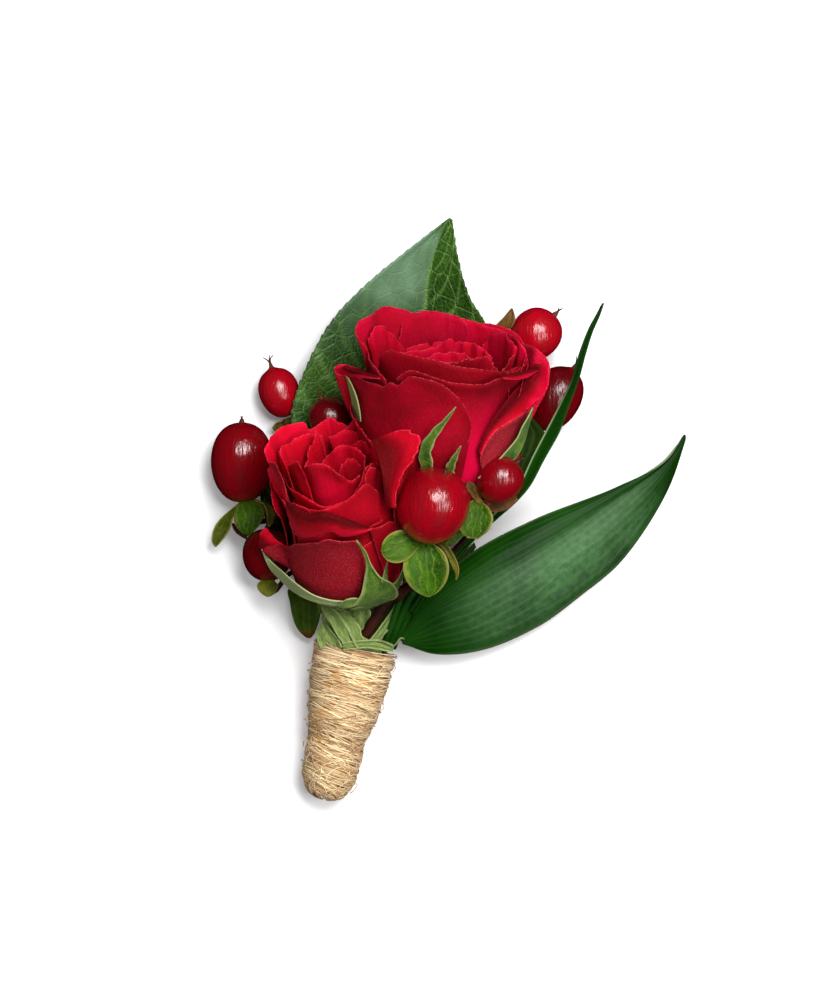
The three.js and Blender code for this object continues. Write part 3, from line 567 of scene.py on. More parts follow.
def strip_grid(one, other, cup, wave, seed, rows, columns, ragged):
    first, second = smooth_line(one, rows), smooth_line(other, rows)
    u = np.linspace(0, 1, columns)[None, :, None]
    random = np.random.default_rng(seed)
    along = np.linspace(0, 1, rows)
    nicks = sum(np.sin(along * pace + random.uniform(0, 6.3)) * random.uniform(0.15, 0.5)
                for pace in (17, 31, 54, 80))
    grid = first[:, None] * (1 - u) + second[:, None] * u + (second - first)[:, None] * (
        ragged * nicks[:, None, None] * u**4)
    half = np.linalg.norm(second - first, axis=1)[:, None] / 2
    level = cup * ((2 * u[..., 0] - 1) ** 2 - 0.5) * half + wave * undulation((rows, columns), seed, 6, 4.0)
    grid[..., 2] += level * np.minimum(1, half / 0.6)
    edge = np.maximum(smooth(0.82, 1.0, np.abs(2 * u[..., 0] - 1)), smooth(0.93, 1.0, along)[:, None])
    return grid, edge


def fold(shape, crease, lip, cup=0.0, wave=0.2, seed=0, rows=60, columns=15, ragged=0.02, tone=0.8, pale=0.0):
    """The part of a petal turned out between its crease and its lip, with its inner face up, painted with shade at
    the crease; tone paints light or shade over the whole of it.
    """
    grid = strip_grid(crease, lip, cup, wave, seed, rows, columns, ragged)[0].transpose(1, 0, 2)
    if np.cross(np.gradient(grid, axis=1), np.gradient(grid, axis=0)).sum(axis=(0, 1))[2] > 0:
        grid = grid[:, ::-1]
    off_lip = np.linalg.norm(grid - grid[-1:], axis=-1)
    shape.blade(grid, STRIP_THICKNESS, edge=off_lip + 1 - pale, tone=tone)


# Roses. Heights run along a bloom's axis from its base; turns are round it, with 0 to the right and -90 nearest.

class Bloom:
    def __init__(self, base, rim, girth, lean):
        self.base = np.array(base, float)
        axis = unit(np.array(rim, float) - self.base)
        right = unit(np.array([1.0, 0, 0]) - axis * axis[0])
        self.axes = np.array([right, np.cross(axis, right), axis])
        self.girth = np.array(girth, float)
        self.lean = lean  # how far its body leans out to the left, at which height, and over how much of it

    def radius(self, height, turn):
        amount, middle, width = self.lean
        round_radius = np.interp(height, self.girth[:, 0], self.girth[:, 1])
        return round_radius - amount * np.cos(turn) * np.exp(-(((height - middle) / width) ** 2))

    def place(self, turn, radius, height):
        local = np.stack([radius * np.cos(turn), radius * np.sin(turn), height], axis=-1)
        return self.base + local @ self.axes

    def under(self, x, y, side, inset, rounds=40):
        """Turn, radius and height of the spot that shows at (x, y) from above, on the near (-1) or far (1) side."""
        right, far, axis = self.axes
        depth = 8.0 * side  # a first guess, mended in each round
        for _ in range(rounds):
            across, height = np.linalg.solve(
                [[right[0], axis[0]], [right[1], axis[1]]],
                [x - self.base[0] - depth * far[0], y - self.base[1] - depth * far[1]])
            radius = max(self.radius(height, math.atan2(depth, across)) - inset, abs(across) + 0.01)
            depth = 0.5 * depth + 0.5 * side * math.sqrt(radius**2 - across**2)
        return math.atan2(depth, across), math.hypot(across, depth), height


PETAL_THICKNESS = 0.32  # mm at the root; half of it at the lip


def petal(shape, bloom, lip, inset, roll=0.6, narrow=0.35, root=1.0, ruffle=0.12, guard=0.0, seed=0, rows=26,
        columns=52, wave=0.2, ragged=0.1, tone=None, glow=0.0):
    """A petal whose lip is a line of (turn, radius, height) round the bloom, on a body inset from its girth."""
    lip = np.array(lip, float)
    lip[:, 0] = np.unwrap(lip[:, 0])
    if lip[-1, 0] < lip[0, 0]:
        lip = lip[::-1]
    flat = np.stack([lip[:, 0] * 10, lip[:, 1], lip[:, 2]], axis=1)
    line = smooth_line(flat, columns)
    turn, radius, height = line[:, 0] / 10, line[:, 1], line[:, 2]
    u = np.linspace(-1, 1, columns)
    v = np.linspace(0, 1, rows)[:, None] ** 0.85
    middle = (turn.min() + turn.max()) / 2
    random = np.random.default_rng(seed)
    nicks = sum(np.sin(u * pace + random.uniform(0, 6.3)) * random.uniform(0.3, 1) / (1 + pace / 20)
        for pace in (7, 13, 22, 35, 52))
    height = height + ruffle * np.sin(u * random.uniform(5, 9) + random.uniform(0, 6)) * 0.5 + ragged * nicks
    drop = 0.45 * roll  # how far the rolled lip comes down
    top = height + drop
    rise = root + (top - root) * v
    turns = middle + (turn - middle) * (narrow + (1 - narrow) * v**0.7)
    body = np.maximum(bloom.radius(rise, turns) - inset, 0.7 + 0.05 * rise)
    end = np.maximum(bloom.radius(top, turn) - inset, 0.7)
    flare = radius - roll - end
    out = body + flare * smooth(0.45, 1.0, v) + roll * smooth(0.82, 1.0, v) ** 1.5
    out += ruffle * np.sin(u * random.uniform(8, 13) + random.uniform(0, 6)) * v**5
    out += ragged * 1.3 * nicks[::-1] * v**9
    rise = rise - drop * smooth(0.86, 1.0, v) ** 2
    out += wave * undulation((rows, columns), seed + 7, most=1.6) * smooth(0.1, 0.5, v)
    grid = bloom.place(turns, np.maximum(out, 0.5), rise)
    span = np.linalg.norm(grid[-1] - grid[0], axis=-1)[None] * (1 - v)
    wide = np.linalg.norm(np.diff(grid, axis=1), axis=-1).sum(axis=1)[:, None]
    side = (1 - np.abs(u))[None] / 2 * wide
    shade = random.uniform(0.3, 0.65) if tone is None else tone
    # painted highlight, strongest on the lower part of the petal and fading out towards its lip
    lit = glow * smooth(1.0, 0.3, v) * smooth(0.1, 0.5, v + 0.25)
    shape.blade(grid, PETAL_THICKNESS * (1 - 0.5 * v) * np.ones_like(out), edge=np.minimum(span, side), tone=shade,
        guard=guard, glow=lit * np.ones_like(out))


def seen_petals(shape, bloom, petals, seed, **more):
    """Petals laid out by how their lips show from above: (inset, roll, squares of the lip, other measures).

    A square is (column, row), then 1 if it is on the far side (-1 the near side), then how far it stands out.
    """
    for i, (inset, roll, squares, *own) in enumerate(petals):
        lip = []
        for x, y, *rest in laid(squares):
            side, out = [*rest, 0][:2] if rest else (-1, 0)
            lip.append(bloom.under(x, y, side, inset - out))
        petal(shape, bloom, lip, inset, roll=roll, seed=seed + i, **{**more, **(own[0] if own else {})})


def on_bloom(bloom, *lines):
    """Each line of squares as places on the near side: (column, row), then how far it stands off the girth."""
    return [[bloom.place(*bloom.under(x, y, -1, -sum(off))) for x, y, *off in laid(line)] for line in lines]


def ring_petals(shape, bloom, petals, seed, **more):
    """Petals by rule: (middle and half width in degrees, height, inset, stand-out of the lip)."""
    for i, (centre, half, height, inset, out) in enumerate(petals):
        lip = []
        for u in np.linspace(-1, 1, 9):
            turn = math.radians(centre + half * u)
            level = height * (1 - 0.14 * abs(u) ** 2.6)
            lip.append((turn, bloom.radius(level, turn) - inset + out, level))
        petal(shape, bloom, lip, inset, seed=seed + i, **more)


UPPER = Bloom((21.06, 35.1, 10), (18.36, 63.0, 22.4),
    [(0, 2.4), (2, 6.2), (5, 9.3), (10, 12.0), (17, 13.9), (24, 14.4), (30, 14.6), (36, 15)], (2.4, 16, 9))
LOWER = Bloom((4.0, 20.3, 8.2), (-2.3, 44.4, 28.4),
    [(0, 3.0), (2, 7.2), (5, 9.6), (10, 10.9), (17, 11.0), (24, 11.2), (30, 11.6), (36, 12)], (1.8, 6, 6))


def upper_rose(finish):
    outer, heart = Shape(), Shape()
    # A tone given to a petal paints light on it (towards 1) or shade (towards 0); the right front petal also gets a
    # painted magenta highlight.
    seen_petals(outer, UPPER, [
        # left and front petal: flared tip at the left, long curved edge across the bloom
        (-0.4, 0.35, [(374, 376, 1), (365, 371, 1, 1), (353, 367, 1, 2.4), (342, 364, 1, 3.9), (335, 366, 1, 4.5),
            (335, 371, -1, 4.4), (340, 375, -1, 3.5), (348, 375, -1, 2.5), (358, 377, -1, 1.4), (367, 382, -1, 0.6),
            (376, 384), (383, 387), (391, 382), (398, 385), (404, 381), (411, 376), (419, 377), (428, 379),
            (440, 383), (452, 392), (462, 402), (469, 415), (471, 430), (467, 443), (459, 457), (450, 471)],
            {"wave": 0.28, "columns": 80, "narrow": 0.6}),
        # right front petal, whose lip folds out over the others
        (0.8, 1.3, [(396, 378), (404, 373), (411, 370), (420, 372), (435, 377), (450, 382), (470, 384), (487, 384),
            (496, 380), (504, 378), (514, 379), (526, 376), (538, 371), (527, 380), (515, 392), (503, 408),
            (492, 423), (482, 438), (475, 452), (470, 464)],
            {"wave": 0.15, "columns": 80, "narrow": 0.5, "tone": 0.8, "glow": 0.85}),
        # right guard petal that flares
        (-0.9, 0.5, [(514, 342, 1), (526, 344, 1), (537, 349, 1, 0.5), (546, 357, 1, 1.4), (550, 366, 1, 2.2),
            (549, 380, -1, 2.2), (545, 394, -1, 1.7), (535, 403, -1, 1.2), (521, 415, -1, 0.8), (507, 424, -1, 0.5),
            (496, 431), (487, 443), (480, 458)],
            {"guard": 1.0, "narrow": 0.75, "wave": 0.1, "ruffle": 0.0, "ragged": 0.03}),
        # upright front petal behind them
        (3.0, 0.5, [(376, 374), (380, 362), (384, 354), (391, 350), (405, 353), (420, 356), (440, 361), (456, 366),
            (475, 369), (488, 370), (500, 371), (512, 369), (521, 364), (526, 355)], {"columns": 70, "tone": 0.9}),
        # far petals, left to right
        (0.9, 0.5, [(386, 381), (376, 364), (366, 351), (359, 336), (360, 322, 1), (366, 315, 1), (380, 311, 1),
            (393, 309, 1), (407, 310, 1), (422, 314, 1), (436, 322, 1)],
            {"tone": 0.1, "ruffle": 0.5, "ragged": 0.22, "wave": 0.35}),
        (1.6, 0.3, [(394, 348, 1), (399, 334, 1), (404, 322, 1), (411, 314, 1), (424, 309, 1), (436, 311, 1),
            (448, 316, 1), (459, 319, 1), (466, 323, 1), (468, 331, 1), (465, 340, 1)],
            {"wave": 0.4, "columns": 64, "tone": 0.0, "ruffle": 0.4, "ragged": 0.2}),
        (1.0, 0.4, [(430, 320, 1), (452, 317, 1), (467, 319, 1), (480, 323, 1), (491, 327, 1), (502, 331, 1),
            (513, 334, 1), (521, 342, 1), (525, 352, 1), (526, 361), (520, 368), (509, 371)],
            {"columns": 64, "tone": 0.45, "ruffle": 0.35, "ragged": 0.18}),
    ], 11)
    # the hollow of the guard petal and the folded lips
    # their tones paint light on them
    fold(outer, *on_bloom(UPPER, [(534, 364, 0.4), (527, 377, -0.2), (516, 389, -0.6), (504, 404, -0.6),
        (493, 419, -0.4), (483, 436, -0.2), (477, 452)],
        [(549, 365, 2.6), (549, 380, 2.9), (545, 393, 2.5), (535, 403, 2.0), (521, 415, 1.6), (507, 424, 1.3),
        (496, 431, 1.2), (487, 443, 1.0), (481, 456, 1.0)]), cup=0.3, seed=5, tone=1.0, pale=1.0)
    fold(outer, *on_bloom(UPPER, [(502, 376, 0.0), (513, 374, 0.2), (524, 371, 0.4), (538, 369, 0.6)],
        [(503, 379, 0.4), (514, 380, 0.8), (526, 378, 1.0), (538, 371, 0.9)]), cup=-0.3, seed=6, rows=40, tone=1.0,
        pale=1.0)
    fold(outer, *on_bloom(UPPER, [(346, 366, 3.6), (356, 370, 2.2), (367, 373, 1.2), (380, 377, 0.6)],
        [(336, 369, 4.8), (346, 376, 3.4), (360, 378, 2.0), (380, 379, 0.8)]), cup=-0.4, seed=7, rows=40, tone=0.9,
        pale=1.0)
    ring_petals(outer, UPPER, [(176, 40, 22, -0.6, 2.0), (120, 46, 29, 0.2, 0.8), (58, 46, 29, -0.4, 1.0),
        (16, 40, 27, 0.2, 0.6)], 22, roll=0.8)
    ring_petals(outer, UPPER, [(-120, 80, 22, 2.7, 0), (-20, 80, 20, 2.7, 0), (120, 80, 27, 1.9, 0)], 27,
                roll=0.0, ruffle=0.0, wave=0.0, narrow=0.8, columns=30, rows=16)
    outer.make("rose_upper_outer_petals", finish, "petals", "rose_upper_petals")
    seen_petals(heart, UPPER, [
        # small fold at the left
        (2.6, 0.3, [(366, 340, 1), (371, 331, 1), (379, 326, 1), (388, 330, 1), (396, 338, 1), (405, 349, 1)]),
        # right fold over the dark hollow
        (3.0, 0.3, [(482, 345, 1), (488, 338, 1), (494, 334, 1), (501, 333, 1), (508, 336, 1), (514, 343, 1),
            (515, 352, 1), (510, 360), (503, 368)]),
        # pointed middle petal and the one beside it
        (5.2, 0.3, [(402, 353, 1), (412, 351, 1), (424, 350, 1), (433, 347, 1), (443, 342, 1), (449, 339, 1),
            (454, 341, 1), (456, 349, 1), (457, 359, 1)]),
        (4.4, 0.3, [(448, 348, 1), (455, 343, 1), (466, 342, 1), (474, 344, 1), (482, 348, 1), (489, 353, 1),
            (492, 362, 1)]),
        # curled heart
        (8.2, 0.4, [(448, 363), (457, 361), (466, 360), (478, 358), (489, 357), (494, 363)]),
        (6.6, 0.3, [(424, 358, 1), (434, 354, 1), (446, 352, 1), (458, 352, 1), (470, 356, 1), (476, 362, 1)]),
    ], 41, rows=22, columns=40, root=6, narrow=0.7, ruffle=0.2, ragged=0.16)
    ring_petals(heart, UPPER, [(100, 80, 24, 3.4, 0), (-60, 80, 26, 4.0, 0), (20, 70, 25, 4.6, 0),
        (190, 70, 25, 4.8, 0), (80, 90, 25, 7.0, 0), (-80, 90, 26, 7.4, 0), (200, 80, 25, 9.6, 0),
        (20, 90, 24, 10.4, 0), (200, 90, 23, 11.4, 0), (60, 90, 22, 12.2, 0)], 61, roll=0.4, rows=18, columns=30,
        root=6, narrow=0.7)
    heart.make("rose_upper_heart_petals", finish, "petals")


def lower_rose(finish):
    outer, heart = Shape(), Shape()
    seen_petals(outer, LOWER, [
        # lowest petal, with its tip turned out at the left
        (-0.5, 0.5, [(262, 550, -1, 1.0), (268, 544, -1, 1.0), (276, 543, -1, 0.6), (284, 545, -1, 0.2), (292, 545),
            (302, 544), (315, 542), (328, 538), (341, 540), (353, 540), (360, 545), (364, 560), (365, 582)],
            {"guard": 1.0, "columns": 70, "narrow": 0.5, "root": 4.0}),
        # front petal with a folded lower lip, and its inner fold
        (0.3, 0.6, [(283, 498), (287, 512), (291, 524), (295, 532), (302, 535), (313, 536), (324, 535), (333, 532),
            (341, 535), (352, 534), (363, 531), (372, 527), (384, 520)], {"columns": 70, "narrow": 0.6}),
        # second petal on the left
        (1.0, 0.6, [(273, 463), (268, 470), (268, 477), (272, 485), (280, 495), (292, 502), (303, 508), (313, 514),
            (320, 516)], {"narrow": 0.6}),
        # front right petal that comes to a ridge
        (1.7, 0.3, [(300, 508), (314, 509), (330, 507), (346, 501), (357, 492), (362, 485), (367, 483), (373, 487),
            (380, 494), (388, 499), (393, 502), (390, 512), (386, 524)], {"narrow": 0.6}),
        # bowl petal with the widest lip
        (2.8, 0.4, [(279, 450), (280, 461), (284, 475), (293, 489), (306, 498), (322, 505), (338, 504), (351, 497),
            (360, 484), (364, 470), (364, 460)], {"columns": 70, "narrow": 0.6}),
        # far petals, left to right
        (0.6, 0.6, [(276, 466), (270, 462), (265, 457), (263, 450, 1), (267, 442, 1), (275, 433, 1), (283, 425, 1),
            (293, 424, 1), (305, 423, 1), (308, 430, 1)]),
        (0.2, 0.5, [(300, 431, 1), (312, 428, 1), (319, 424, 1), (328, 419, 1), (334, 417, 1), (340, 423, 1),
            (349, 428, 1), (356, 432, 1)]),
        (0.9, 0.5, [(341, 430, 1), (347, 427, 1), (355, 420, 1), (363, 418, 1), (375, 424, 1), (382, 431, 1),
            (387, 443, 1), (391, 453, 1), (389, 464)]),
        # right guard petal that flares toward the other bloom
        (-0.5, 0.4, [(378, 446, 1), (383, 438, 1), (388, 434, 1), (399, 432, 1, 0.8), (409, 432, 1, 2),
            (417, 435, 1, 3), (421, 440, -1, 3.6), (419, 451, -1, 3), (413, 459, -1, 2.4), (405, 470, -1, 1.8),
            (399, 482, -1, 1.2), (396, 494, -1, 0.6), (395, 506), (394, 521)], {"columns": 80, "narrow": 0.75}),
        (-0.3, 0.4, [(370, 529), (376, 527), (383, 524), (394, 522), (401, 530), (399, 537), (392, 545), (388, 556),
            (386, 570), (384, 584)], {"narrow": 0.6}),
        (-0.3, 0.3, [(384, 562), (391, 553), (398, 554), (400, 564), (395, 580)]),
    ], 81, ruffle=0.22, ragged=0.16)
    # the folded lip in front, the hollow of the guard petal, and the tip turned out at the left
    # their tones paint shade on the folded lip in front and light on the hollow and the turned-out tip
    fold(outer, *on_bloom(LOWER, [(286, 500, -0.2), (297, 507, 0.0), (312, 513, 0.2), (323, 512, 0.2),
        (338, 516, 0.2), (352, 521, 0.2), (364, 526, 0.2), (371, 528, 0.2)],
        [(287, 512, 0.6), (293, 529, 0.9), (300, 536, 1.0), (317, 536, 1.0), (332, 532, 1.0), (340, 536, 1.0),
        (352, 536, 1.0), (366, 532, 0.8), (373, 528, 0.6)]), cup=-0.5, seed=8, rows=70, tone=0.35, pale=1.0)
    fold(outer, laid([(371, 440, 29.6), (375, 450, 30.8), (379, 462, 31.8), (382, 476, 32.6), (384, 490, 32.4),
        (387, 508, 30)]), laid([(391, 433, 30.6), (402, 430, 32.2), (412, 432, 33.4), (420, 438, 33.8),
        (418, 450, 33.8), (412, 461, 34.2), (404, 472, 34.8), (399, 484, 34.2), (396, 496, 32.8), (396, 508, 30.6)]),
        cup=0.3, wave=0.35, seed=9, columns=25, ragged=0.04, tone=0.75, pale=1.0)
    fold(outer, *on_bloom(LOWER, [(282, 552, 1.2), (272, 552, 1.6), (264, 550, 2.2), (259, 546, 2.8),
        (259, 539, 3.0)], [(284, 545, 1.2), (277, 540, 1.6), (271, 534, 2.2), (266, 528, 2.8), (260, 533, 3.0)]),
        cup=-0.2, seed=10, rows=40, ragged=0.06, tone=1.0, pale=0.95)
    ring_petals(outer, LOWER, [(90, 50, 26, -0.6, 0.8), (150, 46, 27, -0.4, 0.8), (35, 46, 25, -0.4, 0.6)], 101,
                roll=0.7)
    ring_petals(outer, LOWER, [(-90, 80, 20, 3.2, 0), (10, 80, 22, 2.2, 0), (160, 80, 22, 2.0, 0),
        (-20, 70, 19, 0.6, 0)], 105, roll=0.0, ruffle=0.0, wave=0.0, narrow=0.8, columns=30, rows=16)
    outer.make("rose_lower_outer_petals", finish, "petals", "rose_lower_petals")
    seen_petals(heart, LOWER, [
        # second ring
        (2.7, 0.4, [(281, 462), (279, 450, 1), (286, 444, 1), (296, 438, 1), (305, 434, 1), (312, 433, 1),
            (322, 435, 1)]),
        (2.2, 0.4, [(328, 437, 1), (335, 434, 1), (342, 431, 1), (355, 432, 1), (368, 439, 1), (378, 447, 1),
            (385, 457, 1), (386, 466), (384, 476)]),
        # folded middle petal, seen from outside
        # this petal gets a painted magenta highlight
        (4.8, 0.5, [(288, 474), (295, 478), (301, 472), (307, 466), (315, 463), (325, 464), (334, 469), (342, 475),
            (351, 481), (359, 474)], {"columns": 60, "glow": 0.7}),
        (4.0, 0.3, [(289, 478), (290, 469), (296, 463), (301, 466), (303, 475), (306, 485)]),
        # upright pointed petal
        (4.8, 0.3, [(304, 466, 1), (307, 456, 1), (310, 448, 1), (314, 437, 1), (317, 431, 1), (320, 439, 1),
            (325, 449, 1)]),
        # arcs of the heart
        (5.8, 0.3, [(316, 470, 1), (321, 464, 1), (327, 456, 1), (335, 448, 1), (346, 445, 1), (357, 448, 1),
            (364, 457, 1)]),
        (4.2, 0.3, [(350, 448, 1), (358, 441, 1), (367, 441, 1), (377, 450, 1), (383, 461, 1)]),
        (8.0, 0.2, [(337, 476), (344, 463), (352, 458), (359, 464), (362, 474)]),
        (3.2, 0.2, [(364, 478), (370, 468), (377, 469), (383, 478)]),
        (4.2, 0.2, [(365, 468), (374, 463), (380, 466), (385, 474)]),
    ], 121, rows=22, columns=40, root=6, narrow=0.7, ruffle=0.2, ragged=0.14)
    ring_petals(heart, LOWER, [(100, 80, 24, 3.2, 0), (-60, 80, 24, 3.5, 0), (20, 70, 25, 3.4, 0),
        (190, 70, 24, 4.0, 0), (80, 90, 24, 6.0, 0), (-80, 90, 24, 6.0, 0), (200, 80, 24, 7.6, 0),
        (20, 90, 25, 8.0, 0), (-100, 90, 24, 9.4, 0)], 141, roll=0.3, rows=18, columns=30, root=6, narrow=0.7)
    heart.make("rose_lower_heart_petals", finish, "petals")


# Calyxes: hip, sepals laid on the bloom, and the stem into the handle

SEPAL_THICKNESS = 0.35


def sepal_on(shape, bloom, points, widths, lift, seed):
    """A sepal over the bloom along (column, row) squares, lift mm off its girth at the foot and then at the tip."""
    steps = np.linspace(lift[0], lift[1], len(points))
    local = [bloom.under(x, y, more[0] if more else -1, -step) for (x, y, *more), step in zip(laid(points), steps)]
    line = smooth_line([bloom.place(t, r, h) for t, r, h in local], 30)
    centre = bloom.base + np.outer((line - bloom.base) @ bloom.axes[2], bloom.axes[2])
    outward = unit(line - centre)
    ahead = unit(np.gradient(line, axis=0))
    across = unit(np.cross(outward, ahead))
    along = np.linspace(0, 1, 30)
    half = np.interp(along, np.linspace(0, 1, len(widths)), widths)[:, None] / 2
    u = np.linspace(-1, 1, 9)
    random = np.random.default_rng(seed)
    ragged = 1 + 0.12 * np.sin(along * 40 + random.uniform(0, 6))[:, None]
    grid = (line[:, None] + across[:, None] * (u[None] * half * ragged)[..., None]
            + outward[:, None] * (0.25 * (u**2)[None] * half)[..., None])
    shape.blade(grid, SEPAL_THICKNESS, rim=np.abs(u)[None] ** 6)


def hip_and_stem(shape, bloom, stem_points):
    heights = np.array([-5.2, -4.9, -3.8, -2.6, -1.6, -0.8, 0.4, 1.0])
    radii = np.array([1.2, 1.7, 2.6, 2.9, 2.6, 3.0, 3.6, 1.0])
    rows = [bloom.base + h * bloom.axes[2] for h in heights]
    shape.tube(rows, radii, sides=20, step=0.5)
    shape.tube([*stem_points, bloom.base - 4.6 * bloom.axes[2]], 1.15, sides=12)


def in_handle(below, right, up):
    """One place or many, by the distance below the wrap's top, to the right of its axis and above it."""
    outer = np.multiply.outer
    return WRAP_TOP + outer(below, WRAP_AXIS) + outer(right, WRAP_RIGHT) + outer(up, WRAP_UP)


WRAP_TOP = np.array([1.98, 9.54, 6.8])
WRAP_FOOT = np.array([-3.6, -17.1, 4.45])
WRAP_AXIS = unit(WRAP_FOOT - WRAP_TOP)
WRAP_RIGHT = -unit(np.cross(WRAP_AXIS, [0, 0, 1.0]))
WRAP_UP = unit(np.cross(WRAP_AXIS, WRAP_RIGHT))
WRAP_RADIUS = np.array([(0, 7.4), (5, 7.0), (9.5, 6.55), (13, 5.95), (17, 4.95), (20, 5.05), (24, 4.7), (26, 3.9)])


def wrap_radius(below):
    return np.interp(below, *WRAP_RADIUS.T)


def round_foot(below, start, length, least):
    """How much of its radius the handle keeps where its foot is rounded off."""
    return np.sqrt(np.clip(1 - (np.maximum(below - start, 0) / length) ** 2, least, 1))


def handle_path(top, end):
    """A stem inside the handle, from its cut end up to the wrap's top: (right, up) there, (below, right, up) here."""
    below, right, up = end
    return [in_handle(below, right, up), in_handle(below / 2, (top[0] + right) / 2, (top[1] + up) / 2),
            in_handle(0, *top)]


def calyxes(finish):
    upper = Shape()
    hip_and_stem(upper, UPPER, [*handle_path((1.7, 0.9), (22, 1.3, 0)), (9.2, 16.6, 7.2), (16.6, 27.2, 7.6)])
    sepal_on(upper, UPPER, [(445, 492), (430, 478), (427, 465), (426, 449), (434, 434), (445, 421), (456, 407)],
        [2.4, 2.6, 2.7, 2.3, 1.7, 0.9, 0.15], (0.5, 3.0), seed=1)
    sepal_on(upper, UPPER, [(462, 492), (450, 480), (450, 468), (455, 457), (461, 446)], [2.0, 2.2, 1.9, 1.2, 0.15],
        (0.5, 2.6), seed=2)
    strip(upper, *on_bloom(UPPER, [(478, 478, 1.2), (492, 467, 1.6), (501, 457, 1.8), (509, 448, 2.0),
        (517, 438, 2.2), (522, 427, 2.6), (528, 417, 3.0), (533, 407, 3.4)],
        [(484, 486, 1.2), (500, 474, 1.6), (512, 463, 1.8), (520, 452, 2.0), (525, 441, 2.2), (528, 430, 2.6),
        (531, 418, 3.0), (533, 407, 3.4)]), cup=0.4, seed=3)
    strip(upper, *on_bloom(UPPER, [(345, 374, 3.0), (348, 385, 2.6), (351, 398, 2.2), (353, 412, 1.8),
        (355, 422, 1.4)], [(346, 374, 3.0), (352, 385, 2.6), (357, 398, 2.2), (360, 412, 1.8), (361, 422, 1.4)]),
        cup=0.4, seed=4, pale=0.5)
    sepal_on(upper, UPPER, [(470, 480, 1), (470, 440, 1), (468, 410, 1)], [2.4, 2.2, 0.2], (0.4, 1.5), seed=5)
    upper.make("rose_upper_green_calyx", finish, "calyx", "rose_upper_calyx")
    lower = Shape()
    hip_and_stem(lower, LOWER, handle_path((-1.7, 1.3), (19, -1.4, 0.3)))
    strip(lower, *on_bloom(LOWER, [(354, 602, 1.4), (342, 601, 1.5), (331, 600, 1.7), (314, 595, 2.0),
        (297, 584, 2.2), (282, 571, 2.4), (269, 559, 2.6), (261, 548, 2.8)],
        [(352, 607, 1.2), (342, 606, 1.3), (330, 605, 1.5), (318, 603, 1.8), (302, 597, 2.0), (284, 584, 2.2),
        (270, 569, 2.6), (261, 548, 2.8)]), cup=0.5, wave=0.12, seed=6, rows=60, pale=1.0)
    # the cup under the petals
    brim = [(318, 603), (330, 605), (342, 605), (354, 604), (370, 601), (386, 597), (398, 591)]
    for down, seed in ((0, 12), (4, 14)):
        strip(lower, *on_bloom(LOWER, [(x, y + down, 0.7) for x, y in brim],
                [(x, y + down + 6, 0.7) for x, y in brim]), seed=seed, rows=60)
    strip(lower, *on_bloom(LOWER, [(338, 606, 2.0), (345, 600, 2.2), (353, 598, 2.2), (361, 599, 2.0)],
        [(340, 608, 2.0), (348, 608, 2.2), (355, 606, 2.2), (361, 601, 2.0)]), cup=0.3, seed=13, pale=0.2)
    # the broad sepal that ends in three points
    strip(lower, *on_bloom(LOWER, [(352, 606, 2.2), (357, 601, 2.4), (361, 594, 2.4), (364, 580, 2.2),
        (366, 566, 2.1), (363, 553, 2.2), (356, 540, 2.5)],
        [(386, 606, 2.2), (398, 595, 2.4), (393, 584, 2.4), (381, 578, 2.2), (372, 566, 2.1), (366, 552, 2.2),
        (357, 540, 2.5)]), cup=0.1, wave=0.2, seed=7, rows=60, columns=19)
    strip(lower, *on_bloom(LOWER, [(381, 582, 1.9), (384, 572, 2.1), (387, 562, 2.4)],
        [(388, 584, 1.9), (387, 573, 2.1), (388, 562, 2.4)]), seed=8, columns=7, wave=0.05)
    strip(lower, *on_bloom(LOWER, [(388, 588, 1.9), (397, 580, 2.2), (402, 570, 2.7), (407, 560, 3.1)],
        [(394, 596, 1.9), (401, 583, 2.2), (405, 572, 2.7), (408, 560, 3.1)]), seed=9, columns=9, wave=0.05)
    sepal_on(lower, LOWER, [(362, 560, 1), (372, 530, 1), (378, 505, 1)], [2.2, 2.0, 0.2], (0.4, 1.0), seed=9)
    lower.make("rose_lower_green_calyx", finish, "calyx", "rose_lower_calyx")


# Berries

BERRIES = [
    # place, half width and half length, way to the style, tone, length of the style
    ((-11.8, 55.3, 3.75), (3.65, 4.5), (-0.31, 0.95, 0.05), 0.75, 1.5),
    ((-18.6, 42.75, 5.7), (5.6, 7.2), (0, 1, 0.08), 0.35, 0.35),
    ((-2.5, 50.4, 9.6), (3.9, 4.3), (-0.415, 0.91, 0.2), 0.15, 0.5),
    ((34.2, 65.7, 6.4), (4.5, 5.0), (0.69, 0.72, 0.12), 1.0, 0.8),
    ((37.8, 54.2, 5.6), (4.6, 6.1), (0.51, 0.86, 0.05), 0.15, 1.5),
    ((15.84, 34.9, 29.4), (6.5, 6.9), (0.31, 0.85, 0.42), 0.6, 0.45),
    ((27.8, 39.6, 23.6), (4.1, 4.4), (0.7, 0.7, 0.12), 0.4, 0.7),
    ((-14.0, 26.1, 7.0), (4.5, 4.7), (0, 1, 0), 0.1, 0.5),
]

